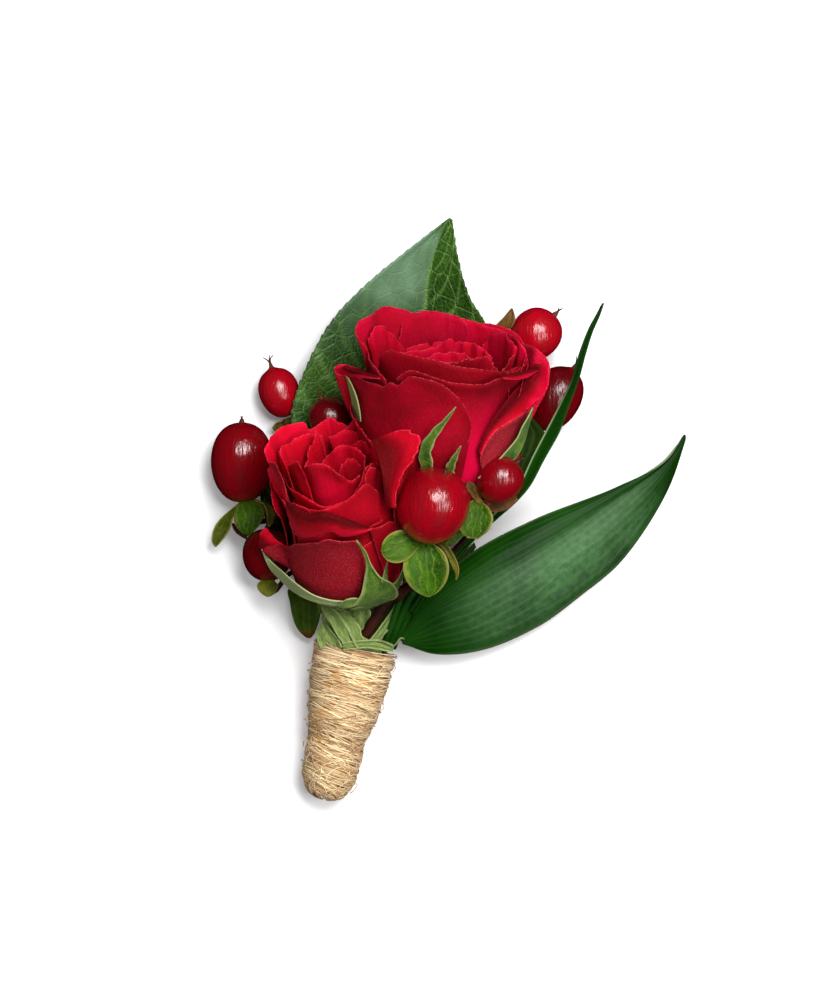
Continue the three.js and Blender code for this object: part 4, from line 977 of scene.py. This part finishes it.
# Outlines of the sepals that show, each between two edges of (column, row, height in mm), with tone and cup
SEPALS = {
    1: [([(272, 428, 3.0), (276, 423, 3.2), (284, 420, 3.0)], [(274, 431, 2.8), (281, 429, 3.0), (287, 424, 2.8)],
        0.3, 0.2), ([(284, 420, 2.2), (289, 424, 2.2), (294, 432, 1.8)],
        [(280, 422, 2.2), (283, 428, 2.2), (291, 434, 1.8)], 0.2, 0.2)],
    2: [([(240, 502, 5.4), (230, 510, 5.6), (222, 517, 5.4), (215, 526, 5.0), (212, 535, 4.8), (212, 542, 4.6),
        (215, 547, 4.5)], [(241, 508, 5.4), (235, 514, 6.2), (232, 521, 6.2), (230, 529, 5.6), (225, 537, 5.0),
        (220, 543, 4.6), (216, 547, 4.4)], 0.62, 0.5),
        ([(242, 500, 6.2), (236, 508, 7.4), (234, 517, 8.2), (236, 526, 8.4), (241, 532, 8.2), (248, 536, 7.8)],
        [(250, 500, 6.2), (261, 504, 7.4), (265, 512, 8.2), (262, 521, 8.4), (256, 529, 8.2), (249, 536, 7.8)], 0.95,
        -0.3), ([(250, 500, 5.8), (262, 503, 7.2), (266, 511, 8.2), (267, 520, 8.6), (268, 526, 8.8)],
        [(256, 499, 5.8), (271, 506, 7.2), (275, 514, 8.2), (274, 522, 8.6), (269, 527, 8.8)], 0.42, 0.2)],
    3: [([(322, 446, 8.6), (316, 450, 8.6), (314, 456, 8.4)], [(326, 449, 8.6), (322, 455, 8.6), (316, 458, 8.4)],
        0.3, 0.2), ([(326, 442, 8.6), (338, 446, 8.6), (350, 452, 8.4)],
        [(324, 448, 8.6), (336, 453, 8.6), (350, 455, 8.4)], 0.4, 0.2)],
    4: [([(510, 350, 5.2), (500, 340, 6.6), (492, 330, 8.0), (497, 324, 8.8), (504, 317, 9.2), (508, 312, 9.2),
        (512, 308, 9.0)], [(514, 346, 5.2), (510, 338, 6.8), (508, 331, 8.6), (512, 327, 9.4), (515, 320, 9.4),
        (514, 313, 9.2), (512, 308, 9.0)], 0.08, 0.3),
        ([(512, 352, 4.6), (518, 368, 4.2), (526, 383, 3.2)], [(519, 350, 4.6), (528, 364, 4.2), (528, 382, 3.2)],
        0.4, 0.2), ([(507, 344, 5.0), (496, 347, 5.6), (489, 356, 6.0)],
        [(510, 352, 5.0), (501, 357, 5.6), (490, 359, 6.0)], 0.3, 0.2)],
    5: [([(534, 426, 5.4), (525, 431, 6.2), (514, 437, 7.0)], [(538, 433, 5.4), (528, 439, 6.2), (515, 441, 7.0)],
        0.4, 0.2), ([(538, 430, 5.0), (540, 438, 5.2), (545, 446, 5.2)],
        [(543, 430, 5.0), (547, 437, 5.2), (549, 446, 5.2)], 0.3, 0.2)],
    6: [([(420, 539, 26.8), (411, 532, 27.9), (401, 530, 28.8), (390, 534, 29.4), (383, 542, 29.6), (381, 551, 29.2)],
        [(420, 544, 26.6), (415, 552, 27.7), (407, 560, 28.6), (397, 563, 29.2), (388, 561, 29.4), (382, 554, 29.2)],
        0.95, 0.25), ([(421, 540, 26.6), (411, 548, 27.5), (404, 560, 28.1), (404, 574, 27.9), (410, 586, 27.1),
        (420, 594, 26.3), (428, 597, 25.7)], [(424, 540, 26.6), (437, 546, 27.5), (446, 556, 28.1), (449, 569, 27.9),
        (446, 582, 27.1), (438, 592, 26.3), (430, 597, 25.7)], 1.0, 0.3),
        ([(428, 541, 26.2), (440, 546, 26.2), (448, 558, 25.8), (454, 571, 25.2), (456, 580, 24.7)],
        [(431, 539, 26.2), (446, 544, 26.2), (455, 557, 25.8), (459, 570, 25.2), (457, 580, 24.7)], 0.4, 0.4)],
    7: [([(473, 500, 23.2), (463, 507, 24.3), (458, 518, 24.9), (460, 530, 24.6), (467, 538, 24.0)],
        [(480, 501, 23.2), (489, 508, 24.3), (493, 519, 24.9), (488, 531, 24.6), (478, 539, 24.0)], 0.98, 0.3),
        ([(482, 506, 23.0), (493, 502, 23.1), (505, 497, 22.8), (516, 495, 22.2)],
        [(485, 511, 22.8), (497, 512, 22.6), (508, 509, 22.2), (518, 500, 21.8)], 0.0, 0.3),
        ([(478, 504, 23.2), (471, 495, 23.8), (466, 487, 23.9), (467, 482, 23.8)],
        [(482, 500, 23.2), (478, 491, 23.8), (474, 484, 23.9), (469, 481, 23.8)], 0.05, 0.4)],
    8: [([(261, 580, 7.8), (257, 586, 8.6), (260, 592, 9.2), (267, 597, 9.4)],
        [(274, 580, 7.8), (278, 586, 8.6), (275, 593, 9.2), (269, 597, 9.4)], 0.5, -0.3)],
}


def berry(number, skin, crown):
    place, (wide, long), towards, tone, style = BERRIES[number - 1]
    up = unit(np.array(towards, float))
    side = unit(np.cross(up, [0.1, 0.05, 1.0]))

    def placed(local):
        return np.array(place) + np.array(local) @ np.array([side, np.cross(up, side), up])

    rows, columns = 40, 56
    t = np.linspace(0.02, math.pi - 0.02, rows)[:, None]
    turn = np.linspace(0, TURN, columns, endpoint=False)[None]
    lumps = 1 + 0.012 * np.sin(3 * turn + number) * np.sin(t) + 0.01 * np.sin(2 * turn - number * 2) * np.sin(2 * t)
    radius = wide * (1 - 0.05 * np.cos(t)) * np.sin(t) ** 0.88 * lumps
    neck = (0.05 + 0.35 * (style > 1)) * np.exp(-((t - math.pi) ** 2) / 0.03)
    height = (neck - long * np.cos(t)) * np.ones_like(turn)
    body = Shape()
    body.turned(placed(np.stack([radius * np.cos(turn), radius * np.sin(turn), height], axis=-1)),
                placed([[0, 0, -long], [0, 0, long + neck[-1, 0]]]),
                tone=tone, pole=[*np.repeat(np.linspace(0, 1, rows), columns), 0, 1])
    body.make(f"berry_{number}_fruit", skin, "berry", f"berry_{number}")
    top = Shape()
    random = np.random.default_rng(number)
    top.tube(placed([[0, 0, long - 0.1], [0.04, 0, long + 0.4], [0.08, 0.04, long + 0.55 + 0.5 * style]]),
             [0.55 + 0.2 * (style > 1), 0.45, 0.24], sides=10, step=0.12, tone=0.2)
    for arm in range(3):
        a = arm * 2.1 + random.uniform(0, 1)
        reach = style * random.uniform(0.5, 0.9)
        top.tube(placed([
            (0.08, 0.04, long + 0.4 + 0.4 * style),
            (0.3 * reach * math.cos(a), 0.3 * reach * math.sin(a), long + 0.6 + 0.8 * style),
            (reach * math.cos(a), reach * math.sin(a), long + 0.7 + style * random.uniform(1.0, 1.5)),
        ]), [0.16, 0.13, 0.07], sides=6, step=0.2, tone=0.2)
    top.make(f"berry_{number}_style", crown, "twig")


def below_berry(number, distances=(3.3, 1.4)):
    """Places on a berry's axis, at distances below its foot."""
    place, (_, long), towards, *_ = BERRIES[number - 1]
    return [np.array(place) - unit(np.array(towards, float)) * (long + below) for below in distances]


def whorl(number, finish):
    shape = Shape()
    shape.tube(below_berry(number, (1.8, 1.1, 0.3)), [0.7, 1.1, 0.8], sides=14, step=0.2, tone=0.15)
    for k, (one, other, tone, cup) in enumerate(SEPALS[number]):
        strip(shape, laid(one), laid(other), cup=cup, wave=0.16, seed=number * 10 + k, rows=40, columns=17, tone=tone)
    shape.make(f"berry_{number}_green_sepals", finish, "sepals", f"berry_{number}_sepals")


# Twigs

def twigs(finish):
    left = handle_path((-3.8, -0.9), (11, -3.0, -0.9))
    fork, high = (-8.2, 25.4, 4.9), (-10.8, 33.4, 4.8)
    shape = Shape()
    shape.tube([*left, (-1.3, 16.2, 5.5), (-2.4, 19.6, 5.2), fork, high], 0.85)
    shape.tube([(-9.8, 30.6, 4.9), high, (-12.2, 41, 3.4), *below_berry(1)], 0.6)
    shape.tube([high, (-14.6, 32.2, 4.2), *below_berry(2)], 0.5)
    shape.tube(laid([(233, 524, 5.8), (236, 530, 6.6), (242, 535, 7.6), (250, 540, 8.4)]), [0.3, 0.38, 0.36, 0.25])
    shape.tube([(-6.0, 22.8, 5.1), fork, (-7.4, 33, 6.0), (-3.0, 41, 6.8), *below_berry(3)], 0.55)
    shape.tube([(-6.0, 22.8, 5.1), (-9.6, 23.0, 3.4), (-12.6, 19.6, 4.4), (-14.0, 19.4, 6.6), below_berry(8)[1]],
        0.45)
    shape.make("hypericum_left_stems", finish, "twig", "hypericum_twig_left")
    front = handle_path((0.2, 3.7), (10, 0.15, 3.2))
    fork = (12.0, 20.8, 15.4)
    shape = Shape()
    shape.tube([*front, (4.9, 13.7, 12.4), (8.0, 18.2, 13.8), fork, (13.4, 23.8, 20.2)],
               [1.1, 1.1, 1.15, 1.1, 1.0, 0.9, 0.8])
    shape.tube([fork, (13.4, 23.8, 20.2), *below_berry(6)], 0.7)
    shape.tube([(9.4, 18, 14), fork, (17.4, 28.4, 17.6), *below_berry(7)], 0.6)
    shape.make("hypericum_front_stems", finish, "twig", "hypericum_twig_front")
    right = handle_path((3.4, -1.9), (9, 3.0, -1.7))
    fork = (29.5, 38.5, 3.8)
    shape = Shape()
    shape.tube([*right, (8.4, 15.6, 4.6), (20, 27, 3.8), fork, *below_berry(5)], 0.7)
    shape.tube([(26, 34.4, 3.8), fork, (29.6, 46, 3.9), *below_berry(4)], 0.6)
    shape.make("hypericum_right_stems", finish, "twig", "hypericum_twig_right")


# Leaves

LEAF_THICKNESS = 0.4
LEAF_REST = 0.22  # the middle of a leaf stays this far above the table


def leaf_grid(middle, left, right, bend, puff, columns, rows):
    v = np.linspace(0, 1, rows)
    centre, one, other = (smooth_line(line, rows) for line in (middle, left, right))
    u = np.linspace(-1, 1, columns)
    grid = np.empty((rows, columns, 3))
    for i, across in enumerate(u):
        edge = one if across < 0 else other
        out = abs(across)
        grid[:, i] = centre + (edge - centre) * [out, out, out**bend]
        grid[:, i, 2] += puff * math.sin(math.pi * out) ** 2 * np.sin(math.pi * v)
    return grid, u, v


def salal(finish):
    columns, rows = 61, 241
    grid, u, v = leaf_grid(
        [(8.1, 35.1, 2.2), (10.3, 50.4, 0.45), (12.6, 62.1, 0.45), (14.3, 70.6, 1.5), (15.1, 76.7, 3.0),
            (17.3, 83.7, 5.6), (19.1, 86.6, 7)],
        [(7.8, 35.2, 2.2), (2.0, 37.0, 2.8), (-4.5, 40.8, 4.4), (-8.8, 46, 6.2), (-9.6, 51, 6.9), (-7.6, 58.2, 7.1),
            (-2.7, 67.7, 7.3), (3.6, 74.5, 7.3), (11.7, 81.2, 7.3), (18.9, 86.8, 7.1)],
        [(8.4, 35.0, 2.2), (15.3, 38.0, 2.4), (21.6, 44.4, 1.8), (26.2, 52.6, 1.9), (27.2, 60.0, 2.5),
            (25.6, 67.0, 4.2), (22.3, 72.7, 5.8), (20.2, 80.1, 6.8), (19.3, 86.5, 7.0)],
        1.15, 0.0, columns, rows)
    # saw teeth that point to the tip
    for i, inward in ((0, 1), (columns - 1, columns - 2)):
        out = unit((grid[:, i] - grid[:, inward]) * [1, 1, 0])
        ahead = unit(np.gradient(grid[:, i], axis=0))
        saw = (np.arange(rows) % 6) / 5.0 * (0.8 + 0.2 * np.sin(np.arange(rows) * 0.37)) * smooth(1.0, 0.95, v)
        grid[:, i] += out * (saw * 0.3)[:, None] + ahead * (saw * 0.15)[:, None]
    # side veins sweep up from the middle
    sweep = v[:, None] * 9.5 - np.abs(u)[None] ** 1.3 * 2.6
    side_vein = np.exp(-(((sweep % 1.0) - 0.5) / 0.06) ** 2) * smooth(0.02, 0.2, np.abs(u))[None]
    middle_vein = np.exp(-(u * 22) ** 2)[None] * np.ones((rows, 1))
    vein = np.clip(side_vein * 0.8 + middle_vein, 0, 1)
    quilt = np.abs(np.sin(math.pi * sweep)) ** 0.6 * smooth(0, 0.3, np.abs(u))[None] * (1 - np.abs(u))[None]
    grid[..., 2] += 0.35 * quilt + 0.12 * undulation((rows, columns), 5, 7, 7.0)
    shape = Shape()
    # painted sheen on the upper left half of the blade, where light glances off it
    wax = smooth(0.06, -0.08, u)[None] * (smooth(0.46, 0.72, v) * smooth(1.0, 0.9, v))[:, None]
    above_table(grid, LEAF_REST)
    shape.blade(grid, LEAF_THICKNESS, vein=vein, wax=wax)
    stalk = [*handle_path((0, -3.4), (15, 0, -2.2)), (4.4, 17, 3.0), (6.4, 26, 2.0), (8.2, 36.6, 1.9)]
    shape.tube(stalk, 0.75, vein=0.4)
    shape.make("salal_leaf_blade", finish, "leaf", "salal_leaf")


def ruscus(finish):
    grid, u, v = leaf_grid(
        [(10.2, 10.6, 7.2), (15.6, 15.2, 8.6), (26.5, 21.2, 9.6), (38.2, 28.4, 8.8), (50.4, 37.2, 5.6),
            (57.6, 42.6, 2.6), (61.3, 47.6, 0.9)],
        [(10.0, 11.0, 7.2), (13.1, 17.3, 7.6), (21.8, 25.8, 7.8), (33.8, 32.4, 8.0), (48.6, 38.2, 5.6),
            (57.1, 42.7, 3.4), (61.2, 47.8, 0.9)],
        [(10.4, 10.2, 7.0), (16.2, 8.3, 6.2), (24.7, 9.0, 5.0), (35, 13.4, 3.4), (42.4, 18.8, 2.0), (49.8, 25.1, 0.6),
            (57.8, 37.2, 0.2), (61.4, 47.4, 0.8)],
        2.2, 0.5, 61, 160)
    grid[..., 2] += 0.2 * undulation(grid.shape[:2], 8, 5, 3.0)
    above_table(grid, LEAF_REST)
    shape = Shape()
    # painted sheen over the middle of the broad leaf, towards its lower edge
    shine = (smooth(0.1, 0.36, v) * smooth(0.93, 0.66, v))[:, None]
    shine = shine * (smooth(-0.4, 0.3, u) * smooth(1.05, 0.75, u))[None]
    shape.blade(grid, LEAF_THICKNESS, rim=0.5 * smooth(0.95, 1.0, np.abs(u))[None] * smooth(0.03, 0.2, v)[:, None],
        shine=shine)
    shape.tube([*handle_path((4.2, 0.4), (11, 3.2, 0.3)), (8.6, 10.6, 7.0), (12.2, 12.2, 7.2)], 0.55)
    # bare stalks beside the leaf's foot
    shape.tube(laid([(384, 646, 10.6), (389, 632, 11.6), (396, 612, 12.4), (404, 588, 13.0)]), 0.62)
    shape.tube(laid([(389, 648, 9.6), (394, 634, 10.8), (402, 614, 12.0), (414, 590, 13.0)]), 0.7)
    shape.tube(laid([(393, 648, 8.4), (399, 634, 9.6), (409, 614, 11.0), (424, 590, 12.4)]), 0.6)
    shape.make("ruscus_leaf_blade", finish, "leaf", "ruscus_leaf")
    # the narrow blade, folded along its middle
    left = laid([(409, 612, 12.6), (424, 591, 13.4), (440, 573, 14.0), (455, 555, 14.4), (479, 529, 15.2),
        (496, 512, 15.7), (511, 498, 16.0), (521, 482, 16.2), (532, 458, 16.5), (546, 431, 16.9), (560, 404, 17.3),
        (572, 379, 17.7), (580, 352, 18.0), (589, 329, 18.3), (597, 314, 18.5), (603, 303, 18.6)])
    middle = laid([(411, 613, 11.8), (425, 592, 12.6), (441, 574, 13.2), (456, 556, 13.6), (480, 530, 14.2),
        (498, 514, 14.6), (513, 500, 14.6), (525, 484, 14.6), (537, 461, 14.7), (550, 435, 15.2), (563, 407, 15.8),
        (574, 381, 16.4), (582, 354, 17.0), (590, 331, 17.6), (598, 315, 18.2), (603, 303, 18.5)])
    right = laid([(414, 616, 12.2), (427, 594, 13.2), (443, 576, 13.8), (458, 558, 14.2), (482, 532, 14.9),
        (500, 516, 15.3), (516, 502, 15.5), (530, 486, 15.7), (544, 460, 16.0), (559, 433, 16.4), (570, 404, 16.8),
        (579, 379, 17.2), (586, 353, 17.6), (593, 331, 18.0), (600, 315, 18.4), (604, 303, 18.6)])
    grid, u, v = leaf_grid(middle, left, right, 1.2, 0.0, 17, 120)
    shape = Shape()
    # rim paints a highlight: a pale line along the left edge of the blade's middle
    shape.blade(grid, LEAF_THICKNESS, rim=0.6 * smooth(-0.86, -1.0, u)[None]
                * (smooth(0.25, 0.4, v) * smooth(0.8, 0.6, v))[:, None])
    shape.tube([*handle_path((3.1, 2.9), (9, 2.7, 2.3)), (8.2, 12.4, 10.8), (13, 17.6, 12.0)], 0.6)
    shape.make("ruscus_narrow_blade", finish, "leaf", "ruscus_blade")


def dark_leaf(finish, shade):
    shape = Shape()
    strip(shape, laid([(298, 584, 3.4), (288, 590, 3.8), (290, 602, 4.3), (292, 614, 4.2), (296, 626, 3.7),
        (302, 634, 3.2), (308, 638, 2.8)]), laid([(306, 584, 3.4), (316, 592, 3.8), (321, 604, 4.3), (320, 616, 4.2),
        (317, 627, 3.7), (314, 634, 3.2), (310, 638, 2.8)]), cup=0.3, wave=0.2, seed=3, rows=50, columns=21,
        tip=smooth(0.74, 0.98, np.linspace(0, 1, 50))[:, None])
    shape.make("dark_leaf_blade", finish, "leaf", "dark_leaf")
    # painted shade: dark strips between the berries, the blooms and the blade, the first two leaves in shade and the
    # last two sheets that stand only for the shadow there
    shape = Shape()
    for k, (one, other, cup, wave) in enumerate([
        ([(258, 470, 1.2), (259, 488, 1.6), (262, 506, 2.2), (267, 524, 2.8), (276, 544, 3.2)],
            [(272, 468, 1.2), (286, 490, 1.6), (291, 508, 2.2), (293, 526, 2.8), (290, 546, 3.2)], 0.2, 0.2),
        ([(519, 418, 9.0), (514, 440, 10.0), (510, 456, 10.6), (508, 474, 11.4), (496, 500, 12.4)],
            [(531, 416, 9.0), (544, 434, 10.4), (540, 452, 11.4), (530, 470, 12.4), (508, 506, 13.2)], 0.3, 0.25),
        ([(399, 556, 9.6), (402, 574, 9.8), (403, 592, 10.0), (400, 612, 10.2)],
            [(415, 552, 9.6), (422, 572, 9.8), (420, 592, 10.0), (410, 612, 10.2)], 0.2, 0.2),
        ([(430, 592, 6.4), (446, 572, 6.4), (462, 554, 6.2), (474, 542, 6.0)],
            [(441, 597, 6.4), (455, 579, 6.4), (467, 563, 6.2), (476, 547, 6.0)], 0.2, 0.1),
    ]):
        strip(shape, laid(one), laid(other), cup=cup, wave=wave, seed=4 + k, tip=0.0)
    shape.make("painted_shade_strips", shade, "leaf")


# Tape and twine

TAPE_REST = 0.1  # mm above the table


def ring_grid(outer, inner, mouth, foot, sides, rows=60):
    """A closed sleeve round the handle's axis, as places and quads."""
    turn = np.linspace(0, TURN, sides, endpoint=False)
    share = np.concatenate([np.linspace(0, 1, rows), np.linspace(1, 0, 8)])[:, None]
    below = mouth(turn) * (1 - share) + foot * share
    radius = np.where(np.arange(len(share))[:, None] < rows, outer(turn, below), inner(below))
    place = in_handle(below, radius * np.cos(turn), radius * np.sin(turn))
    uv = np.stack([np.broadcast_to(turn / TURN, below.shape), below / 20], axis=-1)
    return place, ring_quads(len(share), sides), uv


def tape(finish):
    def flare(below):
        return wrap_radius(below) - 1.5 + 1.8 * smooth(0, 7.6, -below)

    def outer(turn, below):
        band = (below * 0.55 + turn * 0.9) % 1.0
        crease = 0.2 * np.sin(turn * 5 + below * 0.9) * smooth(0.5, 2, -below) + 0.28 * band
        return flare(below) + crease + 0.1 * np.sin(turn * 31 + below * 3)

    shape = Shape()
    place, quads, uv = ring_grid(outer, lambda below: flare(below) - 0.6,
                                 lambda t: -3.6 + 4.2 * np.cos(t) + 0.5 * np.sin(5 * t), 16, 160)
    above_table(place, TAPE_REST)
    shape.add(place, uv, quads, rim=0.0)
    # overlapping ends of the tape on top: left band, middle band, piece behind, strip at the right,
    # cuff, dull end at the left
    for k, (one, other) in enumerate([
        ([(322, 607, 12.2), (324, 614, 13.0), (329, 621, 13.8), (334, 630, 14.3), (339, 638, 14.4), (346, 647, 14.3)],
            [(331, 606, 12.6), (339, 614, 14.2), (344, 621, 14.8), (349, 629, 15.0), (354, 638, 14.9),
            (358, 648, 14.6)]),
        ([(328, 606, 12.4), (337, 613, 14.2), (342, 620, 14.6), (347, 628, 14.9), (351, 637, 14.9), (356, 648, 14.6)],
            [(341, 606, 12.2), (348, 614, 13.6), (355, 621, 14.2), (360, 628, 14.5), (362, 636, 14.5),
            (369, 647, 14.2)]),
        ([(340, 603, 9.8), (346, 613, 10.8), (354, 621, 11.8), (362, 631, 12.4)],
            [(356, 603, 10.8), (368, 607, 11.6), (371, 615, 12.2), (368, 628, 12.6)]),
        ([(366, 643, 13.4), (374, 635, 12.8), (382, 624, 12.2), (390, 613, 11.8), (396, 602, 11.6)],
            [(377, 645, 13.2), (383, 636, 12.4), (390, 624, 11.8), (396, 613, 11.4), (400, 602, 11.2)]),
        ([(342, 643, 14.6), (355, 641, 14.9), (367, 640, 14.7), (380, 640, 13.9), (394, 645, 12.4)],
            [(343, 650, 14.4), (355, 649, 14.7), (367, 648, 14.5), (380, 650, 13.8), (393, 652, 12.4)]),
        ([(323, 622, 10.8), (318, 630, 11.0), (317, 639, 11.2), (320, 648, 11.4)],
            [(327, 624, 12.0), (332, 631, 12.9), (338, 638, 13.6), (343, 648, 13.9)]),
    ]):
        strip(shape, laid(one), laid(other), cup=0.35, wave=0.3, seed=30 + k, rows=50, columns=21, ragged=0.02)
    # thin curled shreds at their edges
    for line in [
        [(378, 642, 14.0), (381, 641, 14.4), (387, 643, 14.2), (393, 646, 13.6)],
        [(391, 649, 12.6), (396, 644, 13.4), (401, 638, 13.8), (404, 639, 13.4)],
        [(341, 607, 13.6), (337, 603, 14.0), (330, 600, 13.8)],
        [(381, 640, 14.0), (384, 634, 14.4), (388, 630, 14.4)],
    ]:
        shape.tube(laid(line), 0.16, sides=6, step=0.3, rim=1.0)
    shape.make("floral_tape_sleeve", finish, "tape", "floral_tape")


def fibre_tree():
    """Lays a round fibre along each curve and gives each its own tone."""
    tree, source, result = group(
        "fibre_lay",
        [("Geometry", "Geometry", None), ("Fibre Radius", "Float", None), ("Seed", "Int", None),
         ("Finish", "Material", None)],
        [("Geometry", "Geometry")], "GeometryNodeTree")
    given = source.outputs
    tone = node(tree, "FunctionNodeRandomValue", {"Seed": given["Seed"]})
    toned = node(tree, "GeometryNodeStoreNamedAttribute",
                 {"Geometry": given["Geometry"], "Name": "tone", "Value": tone.outputs[1]}, domain="CURVE")
    ring = node(tree, "GeometryNodeCurvePrimitiveCircle", {"Resolution": 4, "Radius": given["Fibre Radius"]})
    swept = node(tree, "GeometryNodeCurveToMesh",
                 {"Curve": toned.outputs[0], "Profile Curve": ring.outputs["Curve"], "Fill Caps": True})
    smoothed = node(tree, "GeometryNodeSetShadeSmooth", {0: swept.outputs[0]})
    real = node(tree, "GeometryNodeRealizeInstances", {0: smoothed.outputs[0]})
    painted = node(tree, "GeometryNodeSetMaterial", {0: real.outputs[0], "Material": given["Finish"]})
    tree.links.new(painted.outputs[0], result.inputs[0])
    return tree


def fibres(name, lines, radius, seed, finish):
    """One piece of round fibres, a fibre along each line of places in millimetres."""
    data = bpy.data.curves.new(name, "CURVE")
    data.dimensions = "3D"
    for line in lines:
        spline = data.splines.new("POLY")
        spline.points.add(len(line) - 1)
        spline.points.foreach_set("co", np.c_[np.asarray(line) * MM, np.ones(len(line))].ravel())
        taper = np.clip(np.minimum(np.arange(len(line)), np.arange(len(line))[::-1]) / 2 + 0.4, 0, 1)
        spline.points.foreach_set("radius", taper)
    source = bpy.data.objects.new(name + "_lines", data)
    bpy.context.scene.collection.objects.link(source)
    modifier = source.modifiers.new("fibres", "NODES")
    modifier.node_group = FIBRES
    sockets = {item.name: item.identifier for item in FIBRES.interface.items_tree if item.in_out == "INPUT"}
    modifier[sockets["Fibre Radius"]] = radius * MM
    modifier[sockets["Seed"]] = seed
    modifier[sockets["Finish"]] = finish
    depsgraph = bpy.context.evaluated_depsgraph_get()
    mesh = bpy.data.meshes.new_from_object(source.evaluated_get(depsgraph))
    bpy.data.objects.remove(source)
    piece(name, mesh, "twine")


FIBRES = fibre_tree()
WOUND = 27.6  # mm of the handle that the twine covers
FOOT = 28.1  # mm below the wrap's top, past which no fibre goes
TURNS, PITCH = 12.8, 2.08
STRANDS = 58  # fibres side by side in the twine
LOOSE = 520  # single fibres over it


def round_handle(below, turn, off):
    """Places off mm outside the wrap at distances below its top and turns round it, kept above the table."""
    radius = (wrap_radius(below) + off) * round_foot(below, 25.4, 2.8, 0.004)
    place = in_handle(below, radius * np.cos(turn), radius * np.sin(turn))
    above_table(place, 0.12)
    return place


def twine(finish):
    random = np.random.default_rng(3)
    core = Shape()
    place, quads, uv = ring_grid(lambda t, d: (wrap_radius(d) - 0.5) * round_foot(d, 25, 2.7, 0.01), lambda d: 0.02,
        lambda t: 0.3 + 0 * t, WOUND, 60)
    above_table(place, TAPE_REST)
    core.add(place, uv, quads, tone=0.1, under=1.0)
    core.make("twine_under_layer", finish, "twine", "twine_wrap")
    lines = []
    angle = np.linspace(0, TURNS * TURN, int(TURNS * 30))
    wander = np.interp(angle, np.linspace(0, angle[-1], 40), random.normal(0, 0.3, 40))
    centre = 0.9 + angle / TURN * PITCH + wander
    slant = 1.1 * np.sin(angle + 0.3)
    for k in range(STRANDS):
        start = TURN * k / STRANDS + random.uniform(-0.2, 0.2)
        twist = start + angle * 0.3 + np.interp(angle, np.linspace(0, angle[-1], 50), random.normal(0, 0.5, 50))
        reach = random.uniform(0.55, 1.1)
        below = centre + slant + 1.2 * reach * np.cos(twist)
        off = -0.42 + 0.6 * reach * np.sin(twist)
        lines.append(round_handle(np.clip(below, 0.0, FOOT), angle - math.pi / 2, off))
    fibres("twine_windings", lines, radius=0.11, seed=5, finish=finish)
    strays = []
    for k in range(LOOSE):
        at = random.uniform(0.0, WOUND)
        messy = at / WOUND  # the lower end is more of a tangle
        begin = random.uniform(0, TURN)
        length = random.uniform(0.3, 2.2 - messy)
        s = np.linspace(0, 1, 20)
        rise = random.normal(0.5, 1.1 + 1.2 * messy)
        curl = (0.15 + 0.45 * messy) * random.uniform(0.3, 1.4)
        pace = random.uniform(3, 12)
        start = random.uniform(0, 6.3)
        below = np.clip(at + rise * s + curl * np.sin(s * pace + start), -0.2, FOOT)
        turn = begin + length * s + curl * 0.22 * np.cos(s * pace + start)
        loose = 0.8 if k % 5 == 0 else 0.15
        off = -0.02 + random.uniform(0, 0.2) + loose * random.uniform() ** 2 * (np.sin(math.pi * s) + 0.8 * s**3)
        strays.append(round_handle(below, turn, off))
    fibres("twine_loose_fibres", strays, radius=0.085, seed=9, finish=finish)


# The whole

def floor(finish):
    mesh = bpy.data.meshes.new("floor")
    half = 3  # metres
    corners = [(-half, -half, 0), (half, -half, 0), (half, half, 0), (-half, half, 0)]
    mesh.from_pydata(corners, [], [(0, 1, 2, 3)])
    mesh.materials.append(finish)
    made = bpy.data.objects.new("floor", mesh)
    made.visible_diffuse = made.visible_glossy = False
    bpy.context.scene.collection.objects.link(made)


camera_and_light()
floor(floor_finish())
upper_rose(petal_finish("rose_upper_velvet", rgb(78, 0, 6), rgb(164, 1, 24), rgb(190, 1, 50), rgb(136, 24, 34)))
lower_rose(petal_finish("rose_lower_velvet", rgb(80, 0, 4), rgb(172, 2, 22), rgb(200, 5, 42), rgb(132, 12, 26)))
calyxes(calyx_finish())
BERRY_SKIN = berry_finish()
CROWN = skin_finish("dried_style_brown", rgb(60, 16, 10), rgb(96, 46, 26))
SEPAL_GREEN = sepal_finish()
for number in SEPALS:
    berry(number, BERRY_SKIN, CROWN)
    whorl(number, SEPAL_GREEN)
twigs(skin_finish("twig_bark", rgb(26, 8, 6), rgb(62, 26, 16), gloss=0.12))
salal(salal_finish())
ruscus(ruscus_finish())
# the second finish is a green darkened to paint shade
dark_leaf(small_leaf_finish("small_leaf_dark", rgb(30, 56, 4), rgb(66, 90, 16)),
    small_leaf_finish("painted_shade_green", rgb(10, 30, 0), rgb(34, 62, 8)))
tape(tape_finish())
twine(twine_finish())
